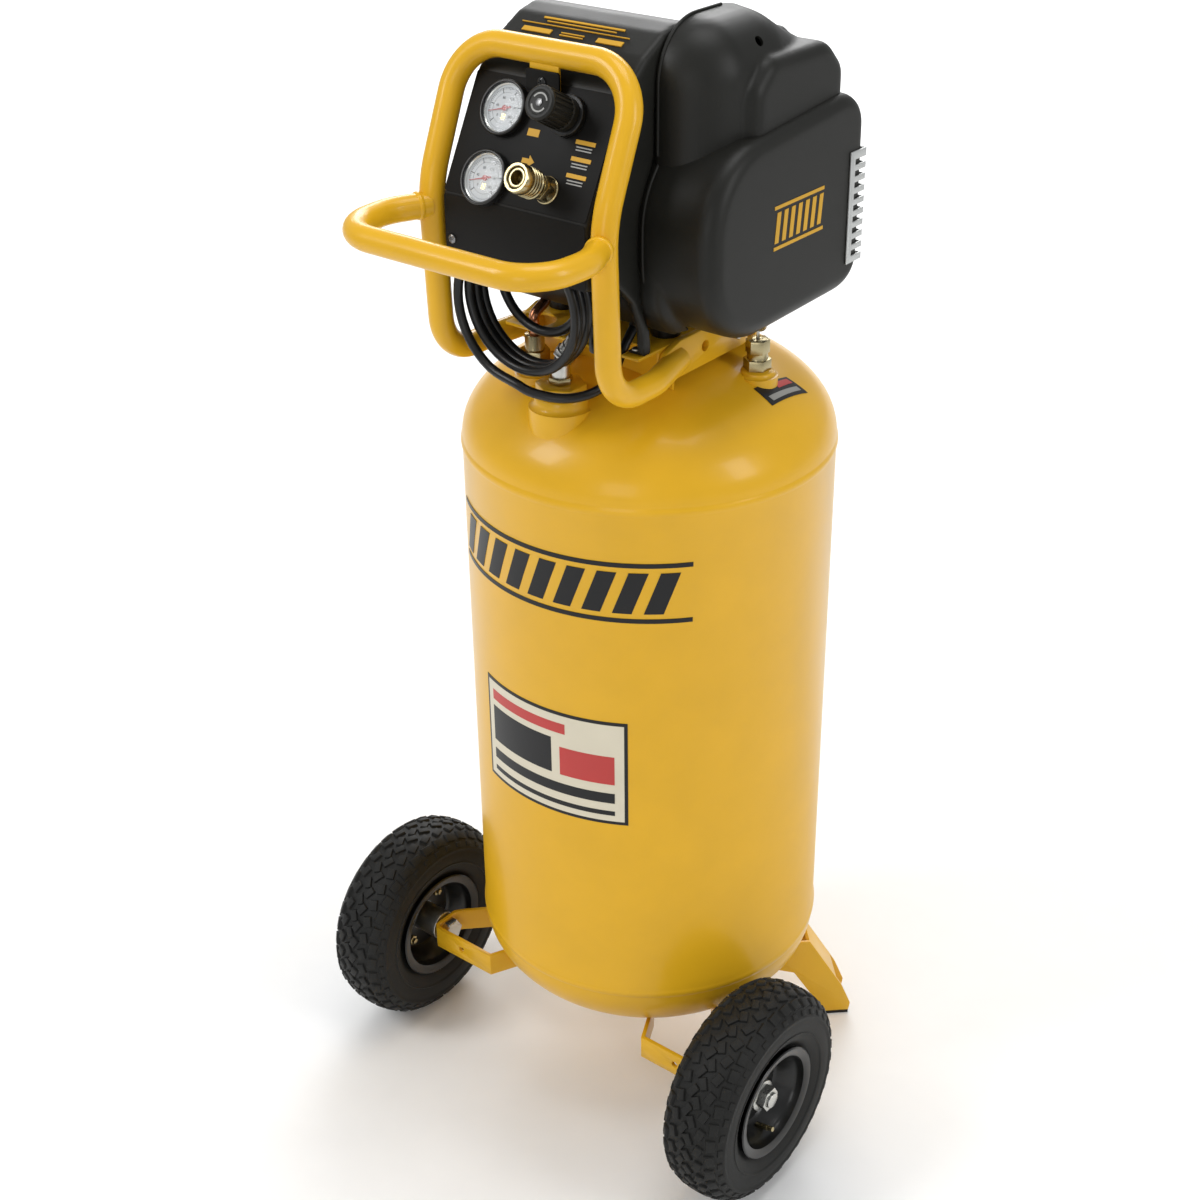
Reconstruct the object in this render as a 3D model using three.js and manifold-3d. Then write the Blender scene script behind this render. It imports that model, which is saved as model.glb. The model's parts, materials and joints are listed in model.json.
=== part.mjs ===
// Vertical portable air compressor on two wheels and two legs, in millimetres, +Z up, the floor at z = 0.
// The user stands on the -Y side, facing the panel; the wheels' axis runs along X.
import * as THREE from "three";
import { mergeVertices } from "three/addons/utils/BufferGeometryUtils.js";
import Module from "manifold-3d";

const wasm = await Module();
wasm.setup();

// ---- driving dimensions ----
const GAP = 0.3; // clearance kept between touching pieces
const TANK_Y = 55.75; // the tank's axis stands this far behind the middle of the footprint
const TANK_R = 175;
const TANK_WALL = 3;
const SHELL_BOTTOM = 172;
const SHELL_TOP = 717;
const HEAD_RISE = 92;
const TANK_SIDES = 28;

const WHEEL_X = 222; // middle of each tyre, from the tank's axis
const WHEEL_Y = -127;
const TYRE_R = 111;
const TYRE_WIDTH = 71;
const BEAD_R = 51.5; // the tyre's bead on a 4 inch rim
const RIM_FLANGE_R = 60;
const HUB_INNER = 187;
const HUB_OUTER = 236;
const HUB_R = 16;
const AXLE_R = 7.9;

const STRIP_THICK = 4;
const STRIP_HEIGHT = 25.4;
const LEG_ANGLE = THREE.MathUtils.degToRad(43.5); // from +X towards +Y
const LEG_WIDTH = 44;
const SHEET = 3;

const TUBE_R = 11;
const FRAME_X = 92.5; // the uprights of the frame tube
const FRAME_LOW_Z = 821;
const HANDLE_Z = 959;

const DECK_Z = 835; // underside of the deck
const DECK_HALF = 75;
const DECK_FRONT = -112;
const DECK_BACK = 100;

const PANEL_Y = -181; // front face of the panel's upright part
const PANEL_KNEE_Z = 972;
const PANEL_LEAN = THREE.MathUtils.degToRad(28);
const CONSOLE_HALF = 77;
const SHELL_THICK = 3;
const PARTING_Z = 1008;

const MOTOR_Z = 935; // the motor's axis runs along X at this height
const CRANK_THROW = 10;
const PISTON_X = 79;
const CORD_D = 8.5;
const CORD_LEAD_X = 47; // where the cord comes out from under the shroud

// ---- materials ----
const finish = (color, roughness, metalness = 0) =>
  new THREE.MeshStandardMaterial({ color, roughness, metalness });
const yellowPaint = () => finish(0xe6b72c, 0.28, 0.1);
const blackPlastic = () => finish(0x1c1c1b, 0.55);
const rubber = () => finish(0x161616, 0.8);
const brass = () => finish(0xb59a5a, 0.3, 0.9);
const zinc = () => finish(0xb8b9b6, 0.35, 0.9);
const castAluminium = () => finish(0x9a9c9c, 0.5, 0.8);
const steel = () => finish(0x70706e, 0.45, 0.8);
const blackPaint = () => finish(0x191919, 0.4, 0.2);

// ---- solids ----
// A closed three.js geometry as a solid, with its faces turned to point outwards.
function solid(geometry) {
  const bare = geometry.index ? geometry.toNonIndexed() : geometry.clone();
  bare.deleteAttribute("normal");
  bare.deleteAttribute("uv");
  const merged = mergeVertices(bare, 1e-3);
  const index = merged.index.array;
  const triangles = [];
  for (let i = 0; i < index.length; i += 3) {
    const [a, b, c] = [index[i], index[i + 1], index[i + 2]];
    if (a !== b && b !== c && c !== a) triangles.push(a, b, c);
  }
  const make = (list) =>
    new wasm.Manifold(
      new wasm.Mesh({
        numProp: 3,
        vertProperties: merged.attributes.position.array,
        triVerts: new Uint32Array(list),
      }),
    );
  const made = make(triangles);
  if (made.volume() >= 0) return made;
  for (let i = 0; i < triangles.length; i += 3) {
    [triangles[i + 1], triangles[i + 2]] = [triangles[i + 2], triangles[i + 1]];
  }
  return make(triangles);
}

function geometryOf(manifold) {
  const mesh = manifold.getMesh();
  const geometry = new THREE.BufferGeometry();
  const positions = new Float32Array(mesh.numVert * 3);
  for (let i = 0; i < mesh.numVert; i++) {
    positions.set(mesh.vertProperties.subarray(i * mesh.numProp, i * mesh.numProp + 3), i * 3);
  }
  geometry.setAttribute("position", new THREE.BufferAttribute(positions, 3));
  geometry.setIndex(new THREE.BufferAttribute(new Uint32Array(mesh.triVerts), 1));
  geometry.computeVertexNormals();
  return geometry;
}

const union = (...pieces) => pieces.reduce((all, piece) => all.add(piece));
const subtract = (body, ...cuts) => cuts.reduce((rest, cut) => rest.subtract(cut), body);

// A box from its lowest and highest corners.
function block(x0, x1, y0, y1, z0, z1) {
  const geometry = new THREE.BoxGeometry(x1 - x0, y1 - y0, z1 - z0);
  geometry.translate((x0 + x1) / 2, (y0 + y1) / 2, (z0 + z1) / 2);
  return solid(geometry);
}

const vector = (...xyz) => new THREE.Vector3(...xyz);

// Turns geometry made along +Z so that it runs from one point towards another.
function aim(geometry, from, to) {
  const direction = to.clone().sub(from).normalize();
  const turn = new THREE.Quaternion().setFromUnitVectors(vector(0, 0, 1), direction);
  return geometry.applyQuaternion(turn).translate(from.x, from.y, from.z);
}

function cylinder(radius, from, to, sides = 20, endRadius = radius) {
  const length = from.distanceTo(to);
  const geometry = new THREE.CylinderGeometry(endRadius, radius, length, sides);
  geometry.rotateX(Math.PI / 2).translate(0, 0, length / 2);
  return solid(aim(geometry, from, to));
}

// A hexagon prism, its size given across flats.
function hexagon(acrossFlats, from, to) {
  return cylinder(acrossFlats / Math.sqrt(3), from, to, 6);
}

// A profile of [radius, height] points turned about Z.
function turnedZ(profile, sides) {
  const points = profile.map(([r, h]) => new THREE.Vector2(r, h));
  return new THREE.LatheGeometry(points, sides).rotateX(Math.PI / 2);
}

// A profile of [radius, x] points turned about X.
function turnedX(profile, sides) {
  const points = profile.map(([r, x]) => new THREE.Vector2(r, x));
  return new THREE.LatheGeometry(points, sides).rotateZ(-Math.PI / 2);
}

// An outline of [y, z] points, extruded along X from x0 to x1.
function slabX(outline, x0, x1, bevel = 0) {
  const shape = new THREE.Shape(outline.map(([y, z]) => new THREE.Vector2(y, z)));
  const options = { depth: x1 - x0 - 2 * bevel, bevelEnabled: bevel > 0 };
  if (bevel > 0) {
    options.bevelThickness = bevel;
    options.bevelSize = bevel;
    options.bevelOffset = -bevel;
    options.bevelSegments = 3;
  }
  const geometry = new THREE.ExtrudeGeometry(shape, options);
  geometry.translate(0, 0, bevel);
  // the shape's x, y and depth become y, z and x
  geometry.applyMatrix4(new THREE.Matrix4().set(0, 0, 1, x0, 1, 0, 0, 0, 0, 1, 0, 0, 0, 0, 0, 1));
  return solid(geometry);
}

// An outline of [x, y] points, extruded up from z0 to z1.
function slabZ(outline, z0, z1) {
  const shape = new THREE.Shape(outline.map(([x, y]) => new THREE.Vector2(x, y)));
  const geometry = new THREE.ExtrudeGeometry(shape, { depth: z1 - z0, bevelEnabled: false });
  return solid(geometry.translate(0, 0, z0));
}

// A route through knots. Each stretch gets an equal share of the parameter, so a sweep takes one step each.
class Route extends THREE.Curve {
  constructor(knots) {
    super();
    this.knots = knots;
  }
  getPoint(t, target = vector(0, 0, 0)) {
    const stretches = this.knots.length - 1;
    const place = Math.min(Math.max(t, 0), 1) * stretches;
    const i = Math.min(Math.floor(place), stretches - 1);
    return target.lerpVectors(this.knots[i], this.knots[i + 1], place - i);
  }
  getUtoTmapping(u) {
    return u;
  }
}

// Corner points, each with a bend radius, as the knots of a bent tube.
function bentKnots(corners, arcSteps) {
  const knots = [corners[0].at];
  for (let i = 1; i < corners.length - 1; i++) {
    const { at, bend } = corners[i];
    const back = corners[i - 1].at.clone().sub(at).normalize();
    const on = corners[i + 1].at.clone().sub(at).normalize();
    const half = back.angleTo(on) / 2;
    const centre = back.clone().add(on).normalize().multiplyScalar(bend / Math.sin(half)).add(at);
    const reach = bend / Math.tan(half);
    const first = at.clone().addScaledVector(back, reach).sub(centre);
    const last = at.clone().addScaledVector(on, reach).sub(centre);
    const sweep = first.angleTo(last);
    const steps = Math.max(2, Math.round((arcSteps * sweep) / (Math.PI / 2)));
    for (let k = 0; k <= steps; k++) {
      const a = (sweep * k) / steps;
      const point = first.clone().multiplyScalar(Math.sin(sweep - a));
      point.addScaledVector(last, Math.sin(a)).divideScalar(Math.sin(sweep));
      knots.push(point.add(centre));
    }
  }
  knots.push(corners[corners.length - 1].at);
  return knots;
}

function tube(knots, radius, sides) {
  const rim = [];
  for (let i = 0; i < sides; i++) {
    const a = (2 * Math.PI * i) / sides;
    rim.push(new THREE.Vector2(radius * Math.cos(a), radius * Math.sin(a)));
  }
  const options = { steps: knots.length - 1, extrudePath: new Route(knots), bevelEnabled: false };
  return solid(new THREE.ExtrudeGeometry(new THREE.Shape(rim), options));
}

// ---- the scene graph ----
const group = new THREE.Group();
const machine = new THREE.Group();
machine.position.y = TANK_Y;
group.add(machine);

function part(name, shape, material, parent = machine) {
  const mesh = new THREE.Mesh(shape.isBufferGeometry ? shape : geometryOf(shape), material);
  mesh.name = name;
  parent.add(mesh);
  return mesh;
}

// ---- tank ----
// Half an ellipse from the rim to the axis, as [radius, height] points.
function headCurve(radius, rise, steps) {
  const points = [];
  for (let i = 0; i <= steps; i++) {
    const a = (Math.PI / 2) * (i / steps);
    points.push([i === steps ? 0 : radius * Math.cos(a), rise * Math.sin(a)]);
  }
  return points;
}

function headSolid(radius, rise) {
  return solid(turnedZ([[0, 0], ...headCurve(radius, rise, 6)], TANK_SIDES));
}

const headOutside = (grow = 0) => headSolid(TANK_R + grow, HEAD_RISE + grow);
const headInside = () => headSolid(TANK_R - TANK_WALL, HEAD_RISE - TANK_WALL).translate([0, 0, -0.01]);
const TOP_HEAD_Z = SHELL_TOP + GAP;
const BOTTOM_HEAD_Z = SHELL_BOTTOM - GAP;

const OUTLET = { y: -126, r: 24, top: 793, bore: 14 };
const SAFETY = { x: 107, y: 19, r: 15, top: 795, bore: 5 };
const CHECK = { x: -55, y: -96, r: 15, top: 800, bore: 8 };
const DRAIN = { r: 16, bottom: 70, bore: 5 };

function tankShell() {
  const beadR = TANK_R + 1.5;
  const half = 4;
  const profile = [
    [TANK_R - TANK_WALL, SHELL_BOTTOM],
    [beadR, SHELL_BOTTOM],
    [beadR, SHELL_BOTTOM + half],
    [TANK_R, SHELL_BOTTOM + 2 * half],
    [TANK_R, SHELL_TOP - 2 * half],
    [beadR, SHELL_TOP - half],
    [beadR, SHELL_TOP],
    [TANK_R - TANK_WALL, SHELL_TOP],
    [TANK_R - TANK_WALL, SHELL_BOTTOM],
  ];
  return turnedZ(profile, TANK_SIDES);
}

// The top head, with the three collars welded into it.
function topHead() {
  let head = subtract(headOutside(), headInside()).translate([0, 0, TOP_HEAD_Z]);
  for (const { x = 0, y, r, top, bore } of [OUTLET, SAFETY, CHECK]) {
    const low = vector(x, y, top - 32);
    head = head.add(cylinder(r, low, vector(x, y, top)));
    head = head.subtract(cylinder(bore, vector(x, y, top - 80), vector(x, y, top + 1)));
  }
  return head;
}

function bottomHead() {
  const dome = subtract(headOutside(), headInside()).rotate([180, 0, 0]).translate([0, 0, BOTTOM_HEAD_Z]);
  const collar = cylinder(DRAIN.r, vector(0, 0, DRAIN.bottom), vector(0, 0, DRAIN.bottom + 18));
  return union(dome, collar).subtract(
    cylinder(DRAIN.bore, vector(0, 0, DRAIN.bottom - 1), vector(0, 0, DRAIN.bottom + 60)),
  );
}

const lowerTankShape = union(
  headOutside(GAP).rotate([180, 0, 0]).translate([0, 0, BOTTOM_HEAD_Z]),
  cylinder(TANK_R + 2, vector(0, 0, BOTTOM_HEAD_Z - 0.1), vector(0, 0, BOTTOM_HEAD_Z + 40), TANK_SIDES),
);

part("tank_shell", tankShell(), yellowPaint());
part("tank_top_head", topHead(), yellowPaint());
part("tank_bottom_head", bottomHead(), yellowPaint());

// The painted hex bushing screwed into the outlet collar.
part(
  "outlet_bushing",
  subtract(
    union(
      hexagon(40, vector(0, OUTLET.y, OUTLET.top + GAP), vector(0, OUTLET.y, 803)),
      cylinder(OUTLET.bore - GAP, vector(0, OUTLET.y, OUTLET.top - 14), vector(0, OUTLET.y, 794)),
    ),
    cylinder(6, vector(0, OUTLET.y, OUTLET.top - 15), vector(0, OUTLET.y, 804), 12),
  ),
  yellowPaint(),
);

// ---- axle brackets ----
// The mitred outline of a bent strip whose middle follows the given line.
function stripOutline(line, thickness) {
  const points = line.map(([x, y]) => new THREE.Vector2(x, y));
  const normals = [];
  for (let i = 0; i < points.length - 1; i++) {
    const along = points[i + 1].clone().sub(points[i]).normalize();
    normals.push(new THREE.Vector2(-along.y, along.x));
  }
  const side = (distance) =>
    points.map((point, i) => {
      const before = normals[Math.max(i - 1, 0)];
      const after = normals[Math.min(i, normals.length - 1)];
      const mitre = before.clone().add(after).normalize();
      const moved = point.clone().addScaledVector(mitre, distance / mitre.dot(after));
      return [moved.x, moved.y];
    });
  return [...side(thickness / 2), ...side(-thickness / 2).reverse()];
}

// One strip bent into a loop, seen from above; the outer run carries the axle bolt.
function axleBracket(side) {
  const line = [[83, -103], [103, -144], [179, -144], [183, -140.5], [183, -113], [178, -106], [122, -50]];
  const placed = line.map(([x, y]) => [side * x, y]);
  const low = TYRE_R - STRIP_HEIGHT / 2;
  const strip = slabZ(stripOutline(placed, STRIP_THICK), low, low + STRIP_HEIGHT);
  const axleHole = cylinder(
    AXLE_R + GAP,
    vector(side * 170, WHEEL_Y, TYRE_R),
    vector(side * 190, WHEEL_Y, TYRE_R),
    16,
  );
  const slot = cylinder(3.5, vector(side * 144, -150, TYRE_R), vector(side * 144, -136, TYRE_R), 12);
  return subtract(strip, axleHole, slot, lowerTankShape);
}

// ---- rear legs ----
// A folded channel on a radial line: two side plates that run in to the bottom head, a sloping outer
// face and a foot plate.
function rearLeg(side) {
  const plate = [
    [84, 84], [158, 62], [187, 16], [192, 7], [192, 4.4], [221, 4.4], [222.5, 14], [212, 40], [174, 104],
    [84, 104],
  ];
  const half = LEG_WIDTH / 2;
  // drawn in the y-z plane, so the radial line is first laid along +Y
  const near = slabX(plate, half - SHEET, half);
  const far = slabX(plate, -half, SHEET - half);
  const face = slabX([[174, 104], [206, 50], [203, 48], [171, 102]], -half, half);
  const foot = slabX([[192, 4.4], [221, 4.4], [221, 7.4], [192, 7.4]], -half, half);
  const turn = THREE.MathUtils.radToDeg(LEG_ANGLE) - 90;
  const leg = union(near, far, face, foot).rotate([0, 0, side > 0 ? turn : -turn]);
  return subtract(leg, lowerTankShape);
}

function footPad(side) {
  const half = LEG_WIDTH / 2;
  const turn = THREE.MathUtils.radToDeg(LEG_ANGLE) - 90;
  return block(-half, half, 193, 221, 0, 4).rotate([0, 0, side > 0 ? turn : -turn]);
}

// ---- wheels ----
// Each wheel is modelled on its own axis, with +X outboard, and its group stands at the hub.
function tyreProfile() {
  const half = TYRE_WIDTH / 2;
  return [
    [BEAD_R, -24], [60, -29], [76, -half], [92, -half + 1.5], [103, -28], [109, -19],
    [TYRE_R, 0],
    [109, 19], [103, 28], [92, half - 1.5], [76, half], [60, 29], [BEAD_R, 24],
    [56, 20], [76, 29], [98, 21], [103, 0], [98, -21], [76, -29], [56, -20], [BEAD_R, -24],
  ];
}

function rimProfile() {
  const bore = HUB_R + GAP;
  return [
    [bore, -2], [38, -2], [42, -19], [48.5, -22], [48.5, -31], [RIM_FLANGE_R - 2, -33],
    [RIM_FLANGE_R - 3, -31.5], [51, -29], [51, -19], [46, -12],
    [46, 12], [51, 19], [51, 29], [RIM_FLANGE_R - 3, 31.5], [RIM_FLANGE_R - 2, 33], [48.5, 31],
    [48.5, 22], [42, 19], [38, 3], [bore, 3], [bore, -2],
  ];
}

const bracketFace = 183 + STRIP_THICK / 2;

function wheel(side) {
  const word = side > 0 ? "right" : "left";
  const station = new THREE.Group();
  station.position.set(side * WHEEL_X, WHEEL_Y, TYRE_R);
  if (side < 0) station.rotation.z = Math.PI;
  machine.add(station);
  part("tyre_" + word, turnedX(tyreProfile(), 28), rubber(), station);
  part("rim_" + word, turnedX(rimProfile(), 20), blackPaint(), station);
  const inner = HUB_INNER - WHEEL_X;
  const outer = HUB_OUTER - WHEEL_X;
  const bore = AXLE_R + GAP;
  const tubeProfile = [[bore, inner], [HUB_R, inner], [HUB_R, outer], [bore, outer], [bore, inner]];
  part("hub_" + word, turnedX(tubeProfile, 20), zinc(), station);
  const headStart = vector(bracketFace - STRIP_THICK - GAP - 9 - WHEEL_X, 0, 0);
  const headEnd = vector(bracketFace - STRIP_THICK - GAP - WHEEL_X, 0, 0);
  const shankEnd = vector(HUB_OUTER + 14 - WHEEL_X, 0, 0);
  const bolt = union(hexagon(22, headStart, headEnd), cylinder(AXLE_R, headStart, shankEnd, 16));
  part("axle_bolt_" + word, bolt, zinc(), station);
  const nutStart = HUB_OUTER + GAP - WHEEL_X;
  const nut = union(
    cylinder(16, vector(nutStart, 0, 0), vector(nutStart + 1.6, 0, 0), 20),
    hexagon(22, vector(nutStart + 1.5, 0, 0), vector(nutStart + 11, 0, 0)),
  );
  const nutBore = cylinder(bore, vector(nutStart - 1, 0, 0), vector(nutStart + 20, 0, 0), 16);
  part("axle_nut_" + word, subtract(nut, nutBore), zinc(), station);
}

for (const [side, word] of [[1, "right"], [-1, "left"]]) {
  part("axle_bracket_" + word, axleBracket(side), yellowPaint());
  part("rear_leg_" + word, rearLeg(side), yellowPaint());
  part("foot_pad_" + word, footPad(side), rubber());
  wheel(side);
}

// ---- deck ----
// A sheet saddle on the top head: a flat top, two cross legs and a turned-down flange at each side.
function pumpDeck() {
  const top = block(-DECK_HALF, DECK_HALF, DECK_FRONT, DECK_BACK, DECK_Z, DECK_Z + SHEET);
  const sides = [-1, 1].map((side) => {
    const edge = side * DECK_HALF;
    const flange = [Math.min(edge, edge - side * SHEET), Math.max(edge, edge - side * SHEET)];
    return block(...flange, -84, 84, DECK_Z - 27, DECK_Z + 1);
  });
  const legs = [-64, 61].map((y) => block(-DECK_HALF, DECK_HALF, y, y + SHEET, 770, DECK_Z + 1));
  const deck = union(top, ...sides, ...legs);
  const valveY = CHECK.y + 5;
  const valveHole = cylinder(17, vector(CHECK.x, valveY, DECK_Z - 2), vector(CHECK.x, valveY, DECK_Z + 5));
  const cordNotch = block(CORD_LEAD_X - 9, CORD_LEAD_X + 9, DECK_FRONT - 1, -84, DECK_Z - 1, DECK_Z + 5);
  return subtract(deck, headOutside(GAP).translate([0, 0, TOP_HEAD_Z]), valveHole, cordNotch);
}
part("pump_deck", pumpDeck(), yellowPaint());

const ISOLATOR_TOP = DECK_Z + SHEET + GAP + 14;
[["front_left", -58, -52], ["front_right", 58, -52], ["rear_left", -58, 52], ["rear_right", 58, 52]].forEach(
  ([place, x, y]) => {
    const low = DECK_Z + SHEET + GAP;
    part("isolator_" + place, cylinder(13, vector(x, y, low), vector(x, y, ISOLATOR_TOP), 16), rubber());
  },
);

// ---- frame tube and handle ----
function frameCorners() {
  const half = [
    { at: vector(-80, -62, 824) },
    { at: vector(-FRAME_X, -112, FRAME_LOW_Z), bend: 60 },
    { at: vector(-FRAME_X, -174, FRAME_LOW_Z), bend: 38 },
    { at: vector(-FRAME_X, -179, 975), bend: 110 },
    { at: vector(-FRAME_X, -131, 1088), bend: 44 },
  ];
  const mirrored = half.map(({ at, bend }) => ({ at: vector(-at.x, at.y, at.z), bend })).reverse();
  return [...half, ...mirrored];
}

// the flat tab under the frame's top bar, which the panel is screwed to
const TAB = { left: -14, right: 16, front: -138.5, bottom: 1059 };

function frameTube() {
  let frame = tube(bentKnots(frameCorners(), 4), TUBE_R, 12);
  for (const side of [-1, 1]) {
    const inner = side * (DECK_HALF + GAP);
    const outer = side * (DECK_HALF + GAP + 7);
    const [x0, x1] = [Math.min(inner, outer), Math.max(inner, outer)];
    const flat = slabX([[-78, 813], [-66, 807], [40, 807], [40, 841], [-60, 841], [-78, 833]], x0, x1);
    const hole = cylinder(4.5, vector(side * 60, -26, 824), vector(side * 100, -26, 824), 12);
    const clear = block(-DECK_HALF - GAP, DECK_HALF + GAP, -118.3, 90, 800, 842);
    frame = frame.add(flat).subtract(clear).subtract(hole);
  }
  return frame.add(block(TAB.left, TAB.right, TAB.front, -136, TAB.bottom, 1082));
}
part("frame_tube", frameTube(), yellowPaint());

function handleTube() {
  const corners = [
    { at: vector(-FRAME_X - 1, -180, HANDLE_Z) },
    { at: vector(-108, -216, HANDLE_Z), bend: 50 },
    { at: vector(-105, -277, HANDLE_Z), bend: 40 },
    { at: vector(105, -277, HANDLE_Z), bend: 40 },
    { at: vector(108, -216, HANDLE_Z), bend: 50 },
    { at: vector(FRAME_X + 1, -180, HANDLE_Z) },
  ];
  const frameClearance = tube(bentKnots(frameCorners(), 4), TUBE_R + GAP, 12);
  const pieces = tube(bentKnots(corners, 4), TUBE_R, 12).subtract(frameClearance).decompose();
  return pieces.sort((a, b) => b.volume() - a.volume())[0];
}
part("handle_tube", handleTube(), yellowPaint());

// ---- console and shroud ----
const panelUp = vector(0, Math.sin(PANEL_LEAN), Math.cos(PANEL_LEAN));
const panelOut = vector(0, -Math.cos(PANEL_LEAN), Math.sin(PANEL_LEAN));

// A point on the leaning panel: x, distance up the slope from the knee, and distance out of its face.
function onPanel(x, up, out) {
  return vector(x, PANEL_Y, PANEL_KNEE_Z).addScaledVector(panelUp, up).addScaledVector(panelOut, out);
}

const GAUGES = [["tank_gauge", -34, 77], ["outlet_gauge", -34, 19]];
const GAUGE_R = 23;
const KNOB = { x: 31, up: 81, r: 14.5 };
const COUPLER = { x: 30, up: 21 };
const PEG = { x: -8, z: 932.5, r: 7, back: -127 };
const SWITCH = { y: -106, z: 1028 };

const FOOT_Z = DECK_Z + SHEET + GAP; // the console's foot stands on the deck

// a hole through the panel
const throughPanel = (x, up, r, sides) => cylinder(r, onPanel(x, up, -12), onPanel(x, up, 5), sides);

function consoleCover() {
  const outer = [
    [PANEL_Y, 915], [PANEL_Y, PANEL_KNEE_Z], [-131, 1066], [-105, 1089], [-79, 1103], [-60, 1108],
    [-37, 1106], [-77, 1063], [-90, 1046], [-90, PARTING_Z], [-110, 968], [-112, 915],
  ];
  const inner = [
    [PANEL_Y + 3, 900], [PANEL_Y + 3, 971.2], [-128.6, 1064.3], [-103.3, 1086.4], [-78, 1100], [-60, 1104.9],
    [-36, 1103], [0, 1103], [0, 900],
  ];
  const inside = CONSOLE_HALF - SHELL_THICK;
  let cover = subtract(slabX(outer, -CONSOLE_HALF, CONSOLE_HALF), slabX(inner, -inside, inside));
  // the right side runs down to the deck as a leg, with a turned-in foot
  const leg = [
    [-150, 917], [-121, 890], [-110, 862], [-107, FOOT_Z], [-97, FOOT_Z], [-98, 858], [-107.6, 880],
    [-113, 917],
  ];
  cover = cover.add(slabX(leg, 70, CONSOLE_HALF));
  cover = cover.add(block(58, 72, -107, -98, FOOT_Z, FOOT_Z + SHELL_THICK));
  cover = cover.subtract(slabX(inset(DRUM.outline, -0.6), DRUM.left - 5, DRUM.right + 5));
  for (const [, x, up] of GAUGES) {
    cover = cover.subtract(throughPanel(x, up, GAUGE_R + GAP, 24));
  }
  cover = cover.subtract(throughPanel(KNOB.x, KNOB.up, 13, 16));
  cover = cover.subtract(throughPanel(COUPLER.x, COUPLER.up, 10.5, 16));
  cover = cover.subtract(block(-80, -70, SWITCH.y - 9, SWITCH.y + 9, SWITCH.z - 9, SWITCH.z + 9));
  // the peg inside the panel's lower edge, which the cord hangs over, with an upturned lip
  const peg = cylinder(PEG.r, vector(PEG.x, PANEL_Y + 1, PEG.z), vector(PEG.x, PEG.back, PEG.z), 12);
  const lip = block(PEG.x - PEG.r, PEG.x + PEG.r, PEG.back - 4, PEG.back, PEG.z - 4, PEG.z + 24);
  cover = cover.subtract(tube(bentKnots(frameCorners(), 4), TUBE_R + 0.5, 12));
  // the lobe that laps over the frame's tab
  const lobeBack = TAB.front - GAP;
  const tongue = block(-10.5, 11.5, lobeBack - 2.5, lobeBack, 1046, 1060);
  const lobe = block(TAB.left - 3, TAB.right + 3, lobeBack - 2.5, lobeBack, 1057, TAB.bottom + 17);
  return union(cover, peg, lip, tongue, lobe);
}

const DRUM_TOP = PARTING_Z - GAP;
const DRUM = { left: -118, right: 116, outline: [
  [-89.7, DRUM_TOP], [-109.5, 967.5], [-111.6, 920], [-106, 880], [-94, 857], [94, 857], [105, 880],
  [108, 930], [106, DRUM_TOP],
] };
const BULGE = { left: 112, right: 151, outline: [
  [-105, 1010], [-80, 1034], [70, 1034], [98, 1024], [108, 1000], [108, 885], [98, 868], [-62, 858],
  [-88, 866], [-106, 900],
] };

// An outline moved inwards by a wall's thickness.
function inset(outline, by) {
  const n = outline.length;
  const centre = outline.reduce(([a, b], [y, z]) => [a + y / n, b + z / n], [0, 0]);
  return outline.map(([y, z]) => {
    const distance = Math.hypot(y - centre[0], z - centre[1]);
    const keep = (distance - by * 1.2) / distance;
    return [centre[0] + (y - centre[0]) * keep, centre[1] + (z - centre[1]) * keep];
  });
}

function shroudLower() {
  const drum = slabX(DRUM.outline, DRUM.left, DRUM.right);
  const outside = union(drum, slabX(BULGE.outline, BULGE.left, BULGE.right, 12));
  const room = union(
    slabX(inset(DRUM.outline, SHELL_THICK), DRUM.left + SHELL_THICK, DRUM.right + 5),
    slabX(inset(BULGE.outline, SHELL_THICK), BULGE.left - 4, BULGE.right - SHELL_THICK, 10),
    block(DRUM.left + 12, 108, -86, 88, 800, 900),
    block(DRUM.left + 12, 108, -84, 100, 990, 1040),
  );
  let shell = subtract(outside, room);
  // intake slots in the left end, and the opening behind the vent plate
  for (let i = 0; i < 7; i++) {
    shell = shell.subtract(block(DRUM.left - 5, DRUM.left + 8, -50, 50, 884 + 15 * i, 891 + 15 * i));
  }
  return shell.subtract(block(72, 140, 90, 125, 893, 970));
}
part("console_cover", consoleCover(), blackPlastic());
part("shroud_lower", shroudLower(), blackPlastic());

function shroudUpper() {
  const hump = [
    [-89.5, PARTING_Z], [-89.5, 1046], [-76.5, 1063.4], [-38, 1104.5], [-20, 1110], [12, 1102], [46, 1088],
    [92, 1070], [102, 1052], [106, PARTING_Z],
  ];
  const left = -CONSOLE_HALF;
  const right = 140;
  const outside = slabX(hump, left, right);
  const capOutline = [[-104, PARTING_Z], [-98, 1026], [-85, 1040], [-60, 1040], [-60, PARTING_Z]];
  const cap = slabX(capOutline, CONSOLE_HALF + 1, 118);
  const slope = new THREE.BoxGeometry(60, 260, 60).rotateY(Math.PI / 5).translate(162, 0, 1122);
  const room = union(
    slabX(inset(hump, SHELL_THICK), left + SHELL_THICK, right - SHELL_THICK - 8),
    block(left + SHELL_THICK, right - 14, -84, 100, 1000, 1030),
  );
  const below = union(
    slabX(BULGE.outline.map(([y, z]) => [y * 1.02, z + GAP]), BULGE.left - GAP, BULGE.right + 5),
    block(-200, 300, -200, 200, 900, PARTING_Z),
  );
  const pieces = subtract(union(outside, cap), solid(slope), room, below).decompose();
  return pieces.sort((a, b) => b.volume() - a.volume())[0];
}
part("shroud_upper", shroudUpper(), blackPlastic());

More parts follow.
